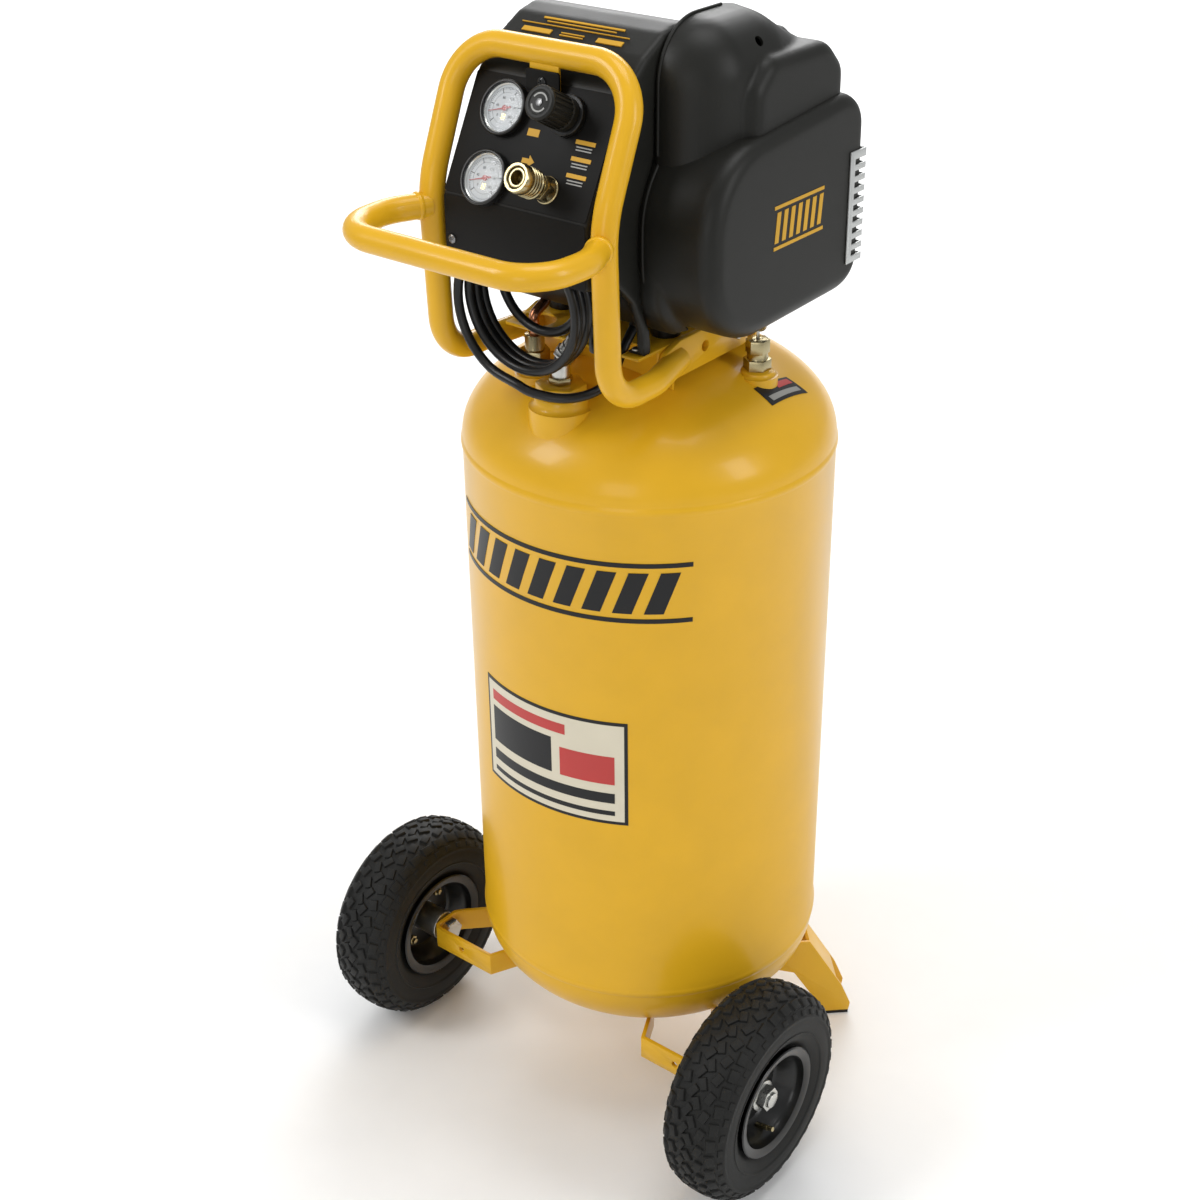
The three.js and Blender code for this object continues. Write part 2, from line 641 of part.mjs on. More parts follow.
// The slotted vent plate, folded round the shroud's rear corner.
function ventGrille() {
  const face = 151 + GAP;
  const back = 108 + GAP;
  const endLeg = block(face, face + 1.5, 86, back + 1.5, 882, 982);
  let plate = union(endLeg, block(66, face + 1.5, back, back + 1.5, 882, 982));
  for (let i = 0; i < 9; i++) {
    const z = 888 + 10.2 * i;
    plate = plate.subtract(block(138, face + 3, 93, back + 3, z, z + 5));
    plate = plate.subtract(block(74, 130, back - 1, back + 3, z, z + 5));
  }
  return plate;
}
part("vent_grille", ventGrille(), zinc());

// ---- panel fittings ----
for (const [name, x, up] of GAUGES) {
  const profile = [
    [0, -18], [GAUGE_R, -18], [GAUGE_R, 8], [GAUGE_R - 2.2, 8], [GAUGE_R - 2.2, 2.5], [0, 2.5],
  ];
  const caseShape = aim(turnedZ(profile, 28), onPanel(x, up, 0), onPanel(x, up, 1));
  part(name + "_case", caseShape, blackPaint());
  const pivot = cylinder(2.6, onPanel(x, up, 2.5 + GAP), onPanel(x, up, 4.6), 12);
  // at zero pressure the needle points down to the left
  const angle = THREE.MathUtils.degToRad(196);
  const alongX = Math.cos(angle);
  const alongUp = Math.sin(angle);
  const root = onPanel(x - 5 * alongX, up - 5 * alongUp, 3.8);
  const tip = onPanel(x + 16.5 * alongX, up + 16.5 * alongUp, 3.8);
  part(name + "_needle", pivot.add(cylinder(0.7, root, tip, 6, 0.35)), finish(0xa3202a, 0.5));
}

const collarR = 17;
const regulator = union(
  cylinder(19, onPanel(KNOB.x, KNOB.up, -46), onPanel(KNOB.x, KNOB.up, -3 - GAP), 16),
  cylinder(12.6, onPanel(KNOB.x, KNOB.up, -5), onPanel(KNOB.x, KNOB.up, 7), 16),
  cylinder(collarR, onPanel(KNOB.x, KNOB.up, GAP), onPanel(KNOB.x, KNOB.up, 7), 20),
);
part("regulator_body", regulator, blackPaint());
part(
  "regulator_knob",
  cylinder(KNOB.r, onPanel(KNOB.x, KNOB.up, 7 + GAP), onPanel(KNOB.x, KNOB.up, 43), 20),
  blackPlastic(),
);

const couplerBore = 5.6;
const couplerAt = (out) => onPanel(COUPLER.x, COUPLER.up, out);
const couplerBody = subtract(
  union(
    cylinder(10, couplerAt(-20), couplerAt(2), 16),
    cylinder(11.5, couplerAt(GAP), couplerAt(3), 20),
    hexagon(19, couplerAt(2), couplerAt(15)),
    cylinder(8.6, couplerAt(14), couplerAt(42.5), 16),
  ),
  cylinder(couplerBore, couplerAt(12), couplerAt(44), 12),
);
part("coupler_body", couplerBody, brass());
const SLEEVE_START = 20;
const sleeve = subtract(
  cylinder(12.5, couplerAt(SLEEVE_START), couplerAt(43.5), 24),
  cylinder(8.6 + GAP, couplerAt(SLEEVE_START - 1), couplerAt(45), 20),
);
part("coupler_sleeve", sleeve, brass());

// ---- pressure switch ----
part(
  "pressure_switch",
  block(-73.7, -30, SWITCH.y - 11, SWITCH.y + 13, SWITCH.z - 22, SWITCH.z + 18),
  blackPaint(),
);
const leverPivot = vector(-74, SWITCH.y, SWITCH.z);
const lever = union(
  cylinder(6, leverPivot, vector(-82, SWITCH.y, SWITCH.z), 16),
  block(-88, -82, SWITCH.y - 5, SWITCH.y + 5, SWITCH.z - 6, SWITCH.z + 20),
);
part("switch_lever", lever, finish(0xb0231e, 0.45));

// ---- motor and pump ----
const onAxis = (x) => vector(x, 0, MOTOR_Z);
const alongMotor = (profile, sides) => turnedX(profile, sides).translate(0, 0, MOTOR_Z);
const SHAFT_R = 8;
const HOUSING = { left: -92, right: 22, r: 70, bore: 36 };
const housingProfile = [
  [SHAFT_R + 0.6, HOUSING.left], [HOUSING.r - 8, HOUSING.left], [HOUSING.r, HOUSING.left + 10],
  [HOUSING.r, HOUSING.right],
  [HOUSING.bore, HOUSING.right], [HOUSING.bore, HOUSING.left + 8], [SHAFT_R + 0.6, HOUSING.left + 8],
  [SHAFT_R + 0.6, HOUSING.left],
];
part("motor_housing", alongMotor(housingProfile, 28), castAluminium());
const rotor = union(
  cylinder(SHAFT_R, onAxis(-114), onAxis(55.7), 16),
  cylinder(35.2, onAxis(-80), onAxis(16), 24),
);
part("motor_rotor", rotor, steel());

function coolingFan() {
  let fan = cylinder(20, onAxis(-112), onAxis(-96), 20);
  const blades = 7;
  for (let i = 0; i < blades; i++) {
    const blade = new THREE.BoxGeometry(3, 24, 42).rotateZ(Math.PI / 4).translate(-104, 0, 38);
    fan = fan.add(solid(blade).rotate([(360 * i) / blades, 0, 0]).translate([0, 0, MOTOR_Z]));
  }
  return fan.subtract(cylinder(SHAFT_R + GAP, onAxis(-130), onAxis(-80), 16));
}
part("cooling_fan", coolingFan(), blackPlastic());

const CRANK = { left: 22.3, right: 104, half: 46, top: 978 };
function crankcase() {
  const base = block(-72, 72, -60, 66, ISOLATOR_TOP + GAP, 860.5);
  const pedestal = block(CRANK.left, CRANK.right, -CRANK.half, CRANK.half, 857, CRANK.top);
  const cavity = cylinder(40, onAxis(46), onAxis(98), 28);
  const bearing = cylinder(SHAFT_R + 0.6, onAxis(20), onAxis(60), 16);
  const mouth = cylinder(31.5, vector(PISTON_X - 6, 0, MOTOR_Z), vector(PISTON_X - 6, 0, CRANK.top + 1), 24);
  return subtract(union(base, pedestal), cavity, bearing, mouth);
}
part("crankcase", crankcase(), castAluminium());

const rodX = PISTON_X - 6;
const pinAt = (x) => vector(x, 0, MOTOR_Z - CRANK_THROW);
const eccentric = union(
  cylinder(24, onAxis(56), onAxis(61.5), 20),
  block(56, 61.5, -20, 20, MOTOR_Z + 4, MOTOR_Z + 30),
  cylinder(8.5, pinAt(61), pinAt(66.2), 16),
);
part("eccentric", eccentric, steel());
const pistonRod = subtract(
  union(
    cylinder(16, pinAt(66.7), pinAt(79.3), 20),
    block(69, 77, -7, 7, MOTOR_Z + 2, 986),
    cylinder(31, vector(rodX, 0, 984), vector(rodX, 0, 994), 24),
  ),
  cylinder(11, pinAt(60), pinAt(90), 16),
);
part("piston_rod", pistonRod, castAluminium());

const BORE_R = 31.8;
const cylinderBarrel = [
  [BORE_R, CRANK.top + GAP], [44, CRANK.top + GAP], [44, 984], [37, 985], [37, 990], [50, 991], [50, 993],
  [37, 994], [37, 1000], [50, 1001], [50, 1003], [37, 1004], [37, 1010], [44, 1011], [44, 1016.5],
  [BORE_R, 1016.5], [BORE_R, CRANK.top + GAP],
];
part("cylinder_barrel", turnedZ(cylinderBarrel, 20).translate(rodX, 0, 0), castAluminium());

function cylinderHead() {
  let head = block(rodX - 42, rodX + 42, -42, 42, 1016.8, 1030);
  for (let i = 0; i < 7; i++) {
    const y = -39 + 13 * i;
    head = head.add(block(rodX - 42, rodX + 42, y - 1.5, y + 1.5, 1029, 1050));
  }
  return head;
}
part("cylinder_head", cylinderHead(), castAluminium());
part(
  "intake_filter",
  cylinder(17, vector(rodX - 42.3, 12, 1036), vector(rodX - 80, 12, 1036), 20),
  blackPlastic(),
);

// ---- air lines ----
const checkTop = 826;
const checkValve = union(
  hexagon(24, vector(CHECK.x, CHECK.y, CHECK.top + GAP), vector(CHECK.x, CHECK.y, 812)),
  cylinder(9, vector(CHECK.x, CHECK.y, 811), vector(CHECK.x, CHECK.y, checkTop), 16),
  cylinder(CHECK.bore - GAP, vector(CHECK.x, CHECK.y, CHECK.top - 12), vector(CHECK.x, CHECK.y, 801)),
  hexagon(15, vector(CHECK.x, CHECK.y, 817), vector(CHECK.x, CHECK.y, 824)),
);
part("check_valve", checkValve, brass());

const dischargeKnots = bentKnots(
  [
    { at: vector(rodX - 42.3, -28, 1024) },
    { at: vector(-20, -28, 1024), bend: 20 },
    { at: vector(CHECK.x, -77, 1010), bend: 20 },
    { at: vector(CHECK.x, -78, 852), bend: 9 },
    { at: vector(CHECK.x, CHECK.y, 844), bend: 7 },
    { at: vector(CHECK.x, CHECK.y, checkTop + GAP) },
  ],
  4,
);
part("discharge_tube", tube(dischargeKnots, 4.8, 8), finish(0xb9714a, 0.35, 0.9));

// The outlet hose from the bushing up to the regulator, behind the panel.
const hoseKnots = bentKnots(
  [
    { at: vector(0, OUTLET.y, 803 + GAP) },
    { at: vector(0, OUTLET.y, 824), bend: 16 },
    { at: vector(29, -120.5, 862), bend: 30 },
    { at: vector(31, -120.5, 985), bend: 60 },
    { at: onPanel(KNOB.x, KNOB.up - 30, -36), bend: 14 },
    { at: onPanel(KNOB.x, KNOB.up - 19 - 0.5, -36) },
  ],
  4,
);
part("outlet_hose", tube(hoseKnots, 6.5, 10), rubber());

const safetyAt = (z) => vector(SAFETY.x, SAFETY.y, z);
const safetyBody = union(
  cylinder(SAFETY.bore - GAP, safetyAt(SAFETY.top - 10), safetyAt(SAFETY.top + 1)),
  hexagon(22, safetyAt(SAFETY.top + GAP), safetyAt(805)),
  cylinder(9.5, safetyAt(803), safetyAt(812), 16),
  hexagon(19, safetyAt(811), safetyAt(823)),
);
part("safety_valve_body", subtract(safetyBody, cylinder(1.9, safetyAt(812), safetyAt(824), 10)), brass());

// The pull stem and its ring.
function safetyRing() {
  const torus = new THREE.TorusGeometry(9, 1.2, 8, 20).rotateX(Math.PI / 2);
  const ring = solid(torus.translate(SAFETY.x, SAFETY.y, 840));
  return ring.add(cylinder(1.5, safetyAt(813), safetyAt(831.5), 10));
}
part("safety_valve_ring", safetyRing(), zinc());

// ---- drain valve ----
const drainAt = (z) => vector(0, 0, z);
const drainBody = union(
  hexagon(18, drainAt(42), drainAt(DRAIN.bottom - GAP)),
  cylinder(DRAIN.bore - GAP, drainAt(60), drainAt(DRAIN.bottom + 10)),
  cylinder(6, vector(0, -8, 54), vector(0, -15, 54), 12),
);
part("drain_valve_body", drainBody, brass());
const drainLever = union(
  cylinder(5.5, vector(0, -15.3, 54), vector(0, -20, 54), 16),
  block(-5, 38, -20, -17.5, 49.5, 58.5),
);
part("drain_valve_lever", drainLever, finish(0xc9a227, 0.4));

// ---- power cord ----
// It hangs over the peg in loops. t counts turns from the bottom of the front loop, going up its left side.
const CORD = { x: -8, topZ: 947, frontY: -175.2, step: 8.8, r: 60, firstGrowth: 5.5, smallR: 47 };
const LOOPS_END = 3.5; // at the top of the last full loop, where a small loop begins
const TURN_STEPS = 13;
const HANG_R = 60; // the bend down to the plug
const CORD_END = { x: CORD.x + HANG_R, y: -131, z: 884 };

function loopRadius(t) {
  if (t > LOOPS_END) return CORD.smallR;
  return CORD.r + (CORD.firstGrowth / 2) * (1 + Math.cos(Math.PI * Math.min(t / 1.2, 1)));
}

function loopPoint(t) {
  const r = loopRadius(t);
  const angle = -Math.PI / 2 - 2 * Math.PI * t;
  const y = CORD.frontY + CORD.step * t;
  return vector(CORD.x + r * Math.cos(angle), y, CORD.topZ - r + r * Math.sin(angle));
}

// from the strain relief, out under the shroud and down over the outlet bushing, into the front loop
const LEAD = [
  [CORD_LEAD_X, -83, 851], [CORD_LEAD_X, -92, 842], [CORD_LEAD_X + 0.5, -101, 832.5], [49.5, -111, 824],
  [51.5, -122, 817.5], [51, -134, 813], [46.5, -146, 810], [38, -157, 808.5], [27, -166, 808.5],
  [14, -170.5, 810], [3, -173.5, 812],
];

function cordKnots() {
  const knots = LEAD.map((p) => vector(...p));
  for (let i = 0; i <= Math.floor(LOOPS_END * TURN_STEPS); i++) knots.push(loopPoint(i / TURN_STEPS));
  for (let i = 1; i <= TURN_STEPS; i++) knots.push(loopPoint(LOOPS_END + i / TURN_STEPS));
  // off the peg and down to the plug
  const bendZ = CORD.topZ - HANG_R;
  for (let i = 1; i <= 6; i++) {
    const angle = (Math.PI / 2) * (1 - i / 6);
    const y = CORD_END.y - 0.75 * (6 - i);
    knots.push(vector(CORD.x + HANG_R * Math.cos(angle), y, bendZ + HANG_R * Math.sin(angle)));
  }
  knots.push(vector(CORD_END.x, CORD_END.y, CORD_END.z));
  return knots;
}
part("power_cord", tube(cordKnots(), CORD_D / 2, 8), rubber());

const glandFace = -CRANK.half - GAP;
const gland = union(
  cylinder(9, vector(CORD_LEAD_X, glandFace, 884), vector(CORD_LEAD_X, glandFace - 7, 884), 16),
  cylinder(8, vector(CORD_LEAD_X, glandFace - 6.5, 882), vector(CORD_LEAD_X, -82.6, 851.4), 12, 5),
);
part("cord_strain_relief", gland, rubber());

// A moulded plug hanging on the cord's end, pins down.
function cordPlug() {
  const at = (d) => vector(CORD_END.x, CORD_END.y, CORD_END.z - 1 - d);
  const pins = [-6, 6].map((dx) => {
    const x = CORD_END.x + dx;
    return block(x - 0.8, x + 0.8, CORD_END.y - 3, CORD_END.y + 3, CORD_END.z - 56, CORD_END.z - 34);
  });
  return union(cylinder(5, at(0), at(14), 12, 9), cylinder(12, at(12), at(36), 16), ...pins);
}
part("cord_plug", cordPlug(), rubber());

export default group;
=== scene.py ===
import json
import math

import bmesh
import bpy
from mathutils import Matrix, Vector


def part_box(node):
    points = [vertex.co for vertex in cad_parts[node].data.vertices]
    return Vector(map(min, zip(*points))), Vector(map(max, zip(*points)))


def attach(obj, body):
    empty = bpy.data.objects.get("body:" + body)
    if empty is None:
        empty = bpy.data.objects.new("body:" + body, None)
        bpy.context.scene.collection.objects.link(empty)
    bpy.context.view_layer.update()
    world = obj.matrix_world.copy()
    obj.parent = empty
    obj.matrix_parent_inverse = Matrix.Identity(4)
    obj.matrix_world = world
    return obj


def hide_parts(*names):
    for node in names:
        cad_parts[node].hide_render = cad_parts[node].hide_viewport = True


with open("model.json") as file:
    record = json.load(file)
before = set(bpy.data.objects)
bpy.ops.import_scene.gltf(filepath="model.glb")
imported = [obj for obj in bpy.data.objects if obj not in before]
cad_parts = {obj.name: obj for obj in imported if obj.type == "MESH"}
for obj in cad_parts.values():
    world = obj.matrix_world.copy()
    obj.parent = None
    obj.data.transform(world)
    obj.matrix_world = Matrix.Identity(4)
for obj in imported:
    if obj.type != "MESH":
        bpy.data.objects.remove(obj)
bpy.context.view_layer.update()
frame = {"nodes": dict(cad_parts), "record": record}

MM = 0.001
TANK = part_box("tank_shell")
AXIS_Y = (TANK[0][1] + TANK[1][1]) / 2 / MM  # the tank's axis; shapes below are in mm from it


# ---- camera, at the photograph's angle ----
CAMERA_AT = (1.0010, -1.3031 + AXIS_Y * MM, 1.4530)
CAMERA_YAW, CAMERA_PITCH, CAMERA_ROLL = 39.217, 29.33, -0.83  # degrees: right of -Y, down, over
CAMERA_LENS, CAMERA_SENSOR = 57.387, 36


def add_camera():
    yaw, pitch, roll = [math.radians(a) for a in (CAMERA_YAW, CAMERA_PITCH, CAMERA_ROLL)]
    forward = Vector((-math.sin(yaw) * math.cos(pitch), math.cos(yaw) * math.cos(pitch), -math.sin(pitch)))
    right = Vector((math.cos(yaw), math.sin(yaw), 0))
    up = right.cross(forward)
    turned_right = math.cos(roll) * right + math.sin(roll) * up
    turned_up = math.cos(roll) * up - math.sin(roll) * right
    camera = bpy.data.objects.new("camera", bpy.data.cameras.new("camera"))
    camera.data.sensor_width = CAMERA_SENSOR
    camera.data.lens = CAMERA_LENS
    axes = Matrix((turned_right, turned_up, -forward)).transposed().to_4x4()
    camera.matrix_world = Matrix.Translation(CAMERA_AT) @ axes
    bpy.context.scene.collection.objects.link(camera)
    bpy.context.scene.camera = camera


add_camera()


# ---- materials ----
COAT_ROUGHNESS = 0.08
MOTTLE_SCALE = 22
MOTTLE_DARK, MOTTLE_LIGHT = 0.3, 0.7  # the noise values of the darkest and lightest colour
ROUGHNESS_SPREAD = 0.15
BUMP_DISTANCE = 0.001


def material(name, color, roughness, metallic=0.0, coat=0.0, grain=(300, 0.05), mottle=0.04, specular=0.5):
    """A finish with fine surface grain, and colour and roughness that vary a little over the surface.

    grain is the scale and the strength of the bump, mottle the share by which the colour varies.
    """
    made = bpy.data.materials.new(name)
    made.use_nodes = True
    nodes = made.node_tree.nodes
    links = made.node_tree.links
    shader = nodes["Principled BSDF"]
    shader.inputs["Metallic"].default_value = metallic
    shader.inputs["Coat Weight"].default_value = coat
    shader.inputs["Coat Roughness"].default_value = COAT_ROUGHNESS
    shader.inputs["Specular IOR Level"].default_value = specular
    place = nodes.new("ShaderNodeTexCoord")
    broad = nodes.new("ShaderNodeTexNoise")
    broad.inputs["Scale"].default_value = MOTTLE_SCALE
    broad.inputs["Detail"].default_value = 6
    links.new(place.outputs["Object"], broad.inputs["Vector"])
    ramp = nodes.new("ShaderNodeValToRGB")
    ramp.color_ramp.elements[0].position = MOTTLE_DARK
    ramp.color_ramp.elements[1].position = MOTTLE_LIGHT
    ramp.color_ramp.elements[0].color = (*[c * (1 - mottle) for c in color], 1)
    ramp.color_ramp.elements[1].color = (*[min(1, c * (1 + mottle)) for c in color], 1)
    links.new(broad.outputs["Fac"], ramp.inputs["Fac"])
    links.new(ramp.outputs["Color"], shader.inputs["Base Color"])
    spread = nodes.new("ShaderNodeMapRange")
    spread.inputs["To Min"].default_value = roughness * (1 - ROUGHNESS_SPREAD)
    spread.inputs["To Max"].default_value = roughness * (1 + ROUGHNESS_SPREAD)
    links.new(broad.outputs["Fac"], spread.inputs["Value"])
    links.new(spread.outputs["Result"], shader.inputs["Roughness"])
    fine = nodes.new("ShaderNodeTexNoise")
    fine.inputs["Scale"].default_value = grain[0]
    fine.inputs["Detail"].default_value = 3
    links.new(place.outputs["Object"], fine.inputs["Vector"])
    bump = nodes.new("ShaderNodeBump")
    bump.inputs["Strength"].default_value = grain[1]
    bump.inputs["Distance"].default_value = BUMP_DISTANCE
    links.new(fine.outputs["Fac"], bump.inputs["Height"])
    links.new(bump.outputs["Normal"], shader.inputs["Normal"])
    return made


YELLOW = material(
    "yellow_enamel", (0.75, 0.415, 0.014), 0.30, coat=0.12, grain=(260, 0.03), mottle=0.03, specular=0.3
)
PLASTIC = material(
    "black_plastic", (0.0105, 0.0105, 0.0085), 0.44, grain=(1800, 0.1), mottle=0.12, specular=0.28
)
PANEL_FACE = material(
    "black_panel", (0.0065, 0.0062, 0.0055), 0.5, grain=(900, 0.04), mottle=0.1, specular=0.14
)
TYRE = material("tyre_rubber", (0.0085, 0.0085, 0.0075), 0.6, grain=(1200, 0.2), mottle=0.25, specular=0.3)
RUBBER = material("cord_rubber", (0.006, 0.006, 0.006), 0.34, grain=(1500, 0.06), mottle=0.12, specular=0.4)
BLACK_PAINT = material(
    "black_paint", (0.008, 0.008, 0.0075), 0.3, coat=0.1, grain=(500, 0.04), mottle=0.1, specular=0.4
)
BRASS = material("turned_brass", (0.46, 0.39, 0.22), 0.26, metallic=1.0, grain=(1500, 0.05), mottle=0.12)
ZINC = material("zinc_plate", (0.60, 0.60, 0.57), 0.28, metallic=1.0, grain=(1400, 0.05), mottle=0.08)
STEEL = material("dark_steel", (0.25, 0.25, 0.25), 0.36, metallic=1.0, grain=(900, 0.06), mottle=0.12)
COPPER = material("copper_tube", (0.60, 0.27, 0.15), 0.28, metallic=1.0, grain=(700, 0.05), mottle=0.15)
CASTING = material("cast_aluminium", (0.42, 0.43, 0.43), 0.5, metallic=0.9, grain=(700, 0.35), mottle=0.1)
VENT = material("galvanised_vent", (0.55, 0.56, 0.55), 0.42, metallic=0.65, grain=(500, 0.08), mottle=0.1)
DIAL = material("dial_white", (0.56, 0.58, 0.60), 0.4, grain=(900, 0.01), mottle=0.02)
RED = material("needle_red", (0.42, 0.015, 0.015), 0.35, mottle=0.03)
INK = material("black_print", (0.009, 0.009, 0.010), 0.35, grain=(900, 0.02), mottle=0.06, specular=0.3)
GOLD_INK = material("yellow_print", (0.62, 0.34, 0.025), 0.45, grain=(900, 0.02), mottle=0.06, specular=0.25)
CREAM = material("cream_label", (0.70, 0.64, 0.50), 0.38, grain=(900, 0.02), mottle=0.03, specular=0.3)
RED_INK = material("red_print", (0.50, 0.035, 0.03), 0.38, grain=(900, 0.02), mottle=0.05)
GREY_INK = material("grey_print", (0.30, 0.30, 0.28), 0.4, grain=(900, 0.02), mottle=0.05)
LENS = material("clear_lens", (0.90, 0.95, 0.95), 0.05, grain=(90, 0.02), mottle=0.03)
LENS_ALPHA = 0.10
LENS.node_tree.nodes["Principled BSDF"].inputs["Alpha"].default_value = LENS_ALPHA


# ---- shapes: lists of (vertices, faces), in mm from the tank's axis ----
def along(origin, direction):
    """The matrix that takes +Z at the origin to that direction at that point."""
    turn = Vector((0, 0, 1)).rotation_difference(Vector(direction)).to_matrix().to_4x4()
    return Matrix.Translation(Vector(origin)) @ turn


def lathe(profile, origin=(0, 0, 0), direction=(0, 0, 1), segments=64):
    """A profile of (radius, height), from axis to axis or closed on itself, turned about a direction."""
    place = along(origin, direction)
    vertices = []
    rings = []
    for radius, height in profile:
        if radius < 1e-6:
            rings.append([len(vertices)])
            vertices.append(place @ Vector((0, 0, height)))
            continue
        rings.append(list(range(len(vertices), len(vertices) + segments)))
        for i in range(segments):
            a = 2 * math.pi * i / segments
            vertices.append(place @ Vector((radius * math.cos(a), radius * math.sin(a), height)))
    faces = []
    for lower, upper in zip(rings, rings[1:]):
        for i in range(segments):
            j = (i + 1) % segments
            if len(lower) == 1 and len(upper) == 1:
                continue
            if len(lower) == 1:
                faces.append((lower[0], upper[j], upper[i]))
            elif len(upper) == 1:
                faces.append((lower[i], lower[j], upper[0]))
            else:
                faces.append((lower[i], lower[j], upper[j], upper[i]))
    return vertices, faces


def rod(radius, start, end, segments=32, end_radius=None):
    """A round bar between two points, tapered when it has an end radius."""
    start, end = Vector(start), Vector(end)
    length = (end - start).length
    top = radius if end_radius is None else end_radius
    return lathe([(0, 0), (radius, 0), (top, length), (0, length)], start, end - start, segments)


def prism(outline, place, depth):
    """A flat outline of (x, y), extruded along the matrix's z."""
    n = len(outline)
    vertices = [place @ Vector((x, y, z)) for z in (0, depth) for x, y in outline]
    faces = [tuple(range(n))[::-1], tuple(range(n, 2 * n))]
    faces += [(i, (i + 1) % n, n + (i + 1) % n, n + i) for i in range(n)]
    return vertices, faces


def hexagon(across_flats, start, end):
    """A six-sided bar between two points."""
    r = across_flats / math.sqrt(3)
    start, end = Vector(start), Vector(end)
    outline = [(r * math.cos(math.pi * i / 3), r * math.sin(math.pi * i / 3)) for i in range(6)]
    return prism(outline, along(start, end - start), (end - start).length)


def block(x0, x1, y0, y1, z0, z1, place=None):
    """A box between two limits on each axis, in the matrix's own directions."""
    place = place or Matrix()
    return prism([(x0, y0), (x1, y0), (x1, y1), (x0, y1)], place @ Matrix.Translation((0, 0, z0)), z1 - z0)


def sweep(points, radius, sides=20):
    """A round bar along points, its section carried along without twisting."""
    points = [Vector(p) for p in points]
    vertices = []
    normal = None
    for i, point in enumerate(points):
        tangent = (points[min(i + 1, len(points) - 1)] - points[max(i - 1, 0)]).normalized()
        if normal is None:
            normal = tangent.orthogonal().normalized()
        normal = (normal - normal.dot(tangent) * tangent).normalized()
        other = tangent.cross(normal)
        for k in range(sides):
            a = 2 * math.pi * k / sides
            vertices.append(point + radius * (math.cos(a) * normal + math.sin(a) * other))
    last = (len(points) - 1) * sides
    faces = [tuple(range(sides))[::-1], tuple(range(last, last + sides))]
    for i in range(len(points) - 1):
        for k in range(sides):
            m = (k + 1) % sides
            faces.append((i * sides + k, i * sides + m, (i + 1) * sides + m, (i + 1) * sides + k))
    return vertices, faces


def bent(corners, steps=12):
    """The points of a bar bent at its corners: (point, bend radius) pairs; the two ends have radius 0."""
    points = [Vector(corners[0][0])]
    for i in range(1, len(corners) - 1):
        at, bend = Vector(corners[i][0]), corners[i][1]
        back = (Vector(corners[i - 1][0]) - at).normalized()
        on = (Vector(corners[i + 1][0]) - at).normalized()
        half = back.angle(on) / 2
        centre = at + (back + on).normalized() * bend / math.sin(half)
        first = at + back * bend / math.tan(half) - centre
        last = at + on * bend / math.tan(half) - centre
        sweep_angle = first.angle(last)
        for k in range(steps + 1):
            a = sweep_angle * k / steps
            mixed = (first * math.sin(sweep_angle - a) + last * math.sin(a)) / math.sin(sweep_angle)
            points.append(centre + mixed)
    points.append(Vector(corners[-1][0]))
    return points


STRAIGHT = 0.02  # radians: a corner turning less than this is left as it is


def filleted(outline, radius=0.0, steps=8):
    """A closed outline of (x, y) or (x, y, radius) corners, each corner rounded."""
    made = []
    n = len(outline)
    for i in range(n):
        at = Vector(outline[i][:2])
        before = Vector(outline[i - 1][:2]) - at
        after = Vector(outline[(i + 1) % n][:2]) - at
        wanted = outline[i][2] if len(outline[i]) > 2 else radius
        half = before.angle(after) / 2
        reach = min(wanted / math.tan(half), before.length * 0.49, after.length * 0.49)
        bend = reach * math.tan(half)
        before.normalize()
        after.normalize()
        centre = at + (before + after).normalized() * bend / math.sin(half)
        first = at + before * reach - centre
        last = at + after * reach - centre
        sweep_angle = first.angle(last)
        if sweep_angle < STRAIGHT:
            made.append((at.x, at.y))
            continue
        for k in range(steps + 1):
            a = sweep_angle * k / steps
            mixed = (first * math.sin(sweep_angle - a) + last * math.sin(a)) / math.sin(sweep_angle)
            made.append(tuple(centre + mixed))
    return made


def even(outline, spacing=3.0, fewest=12):
    """A closed outline of (x, y) with points at equal spacing."""
    points = [Vector(p) for p in outline]
    points.append(points[0])
    lengths = [(b - a).length for a, b in zip(points, points[1:])]
    count = max(fewest, round(sum(lengths) / spacing))
    made = []
    at, leg = 0.0, 0
    for k in range(count):
        goal = sum(lengths) * k / count
        while at + lengths[leg] < goal:
            at += lengths[leg]
            leg += 1
        made.append(tuple(points[leg].lerp(points[leg + 1], (goal - at) / lengths[leg])))
    return made


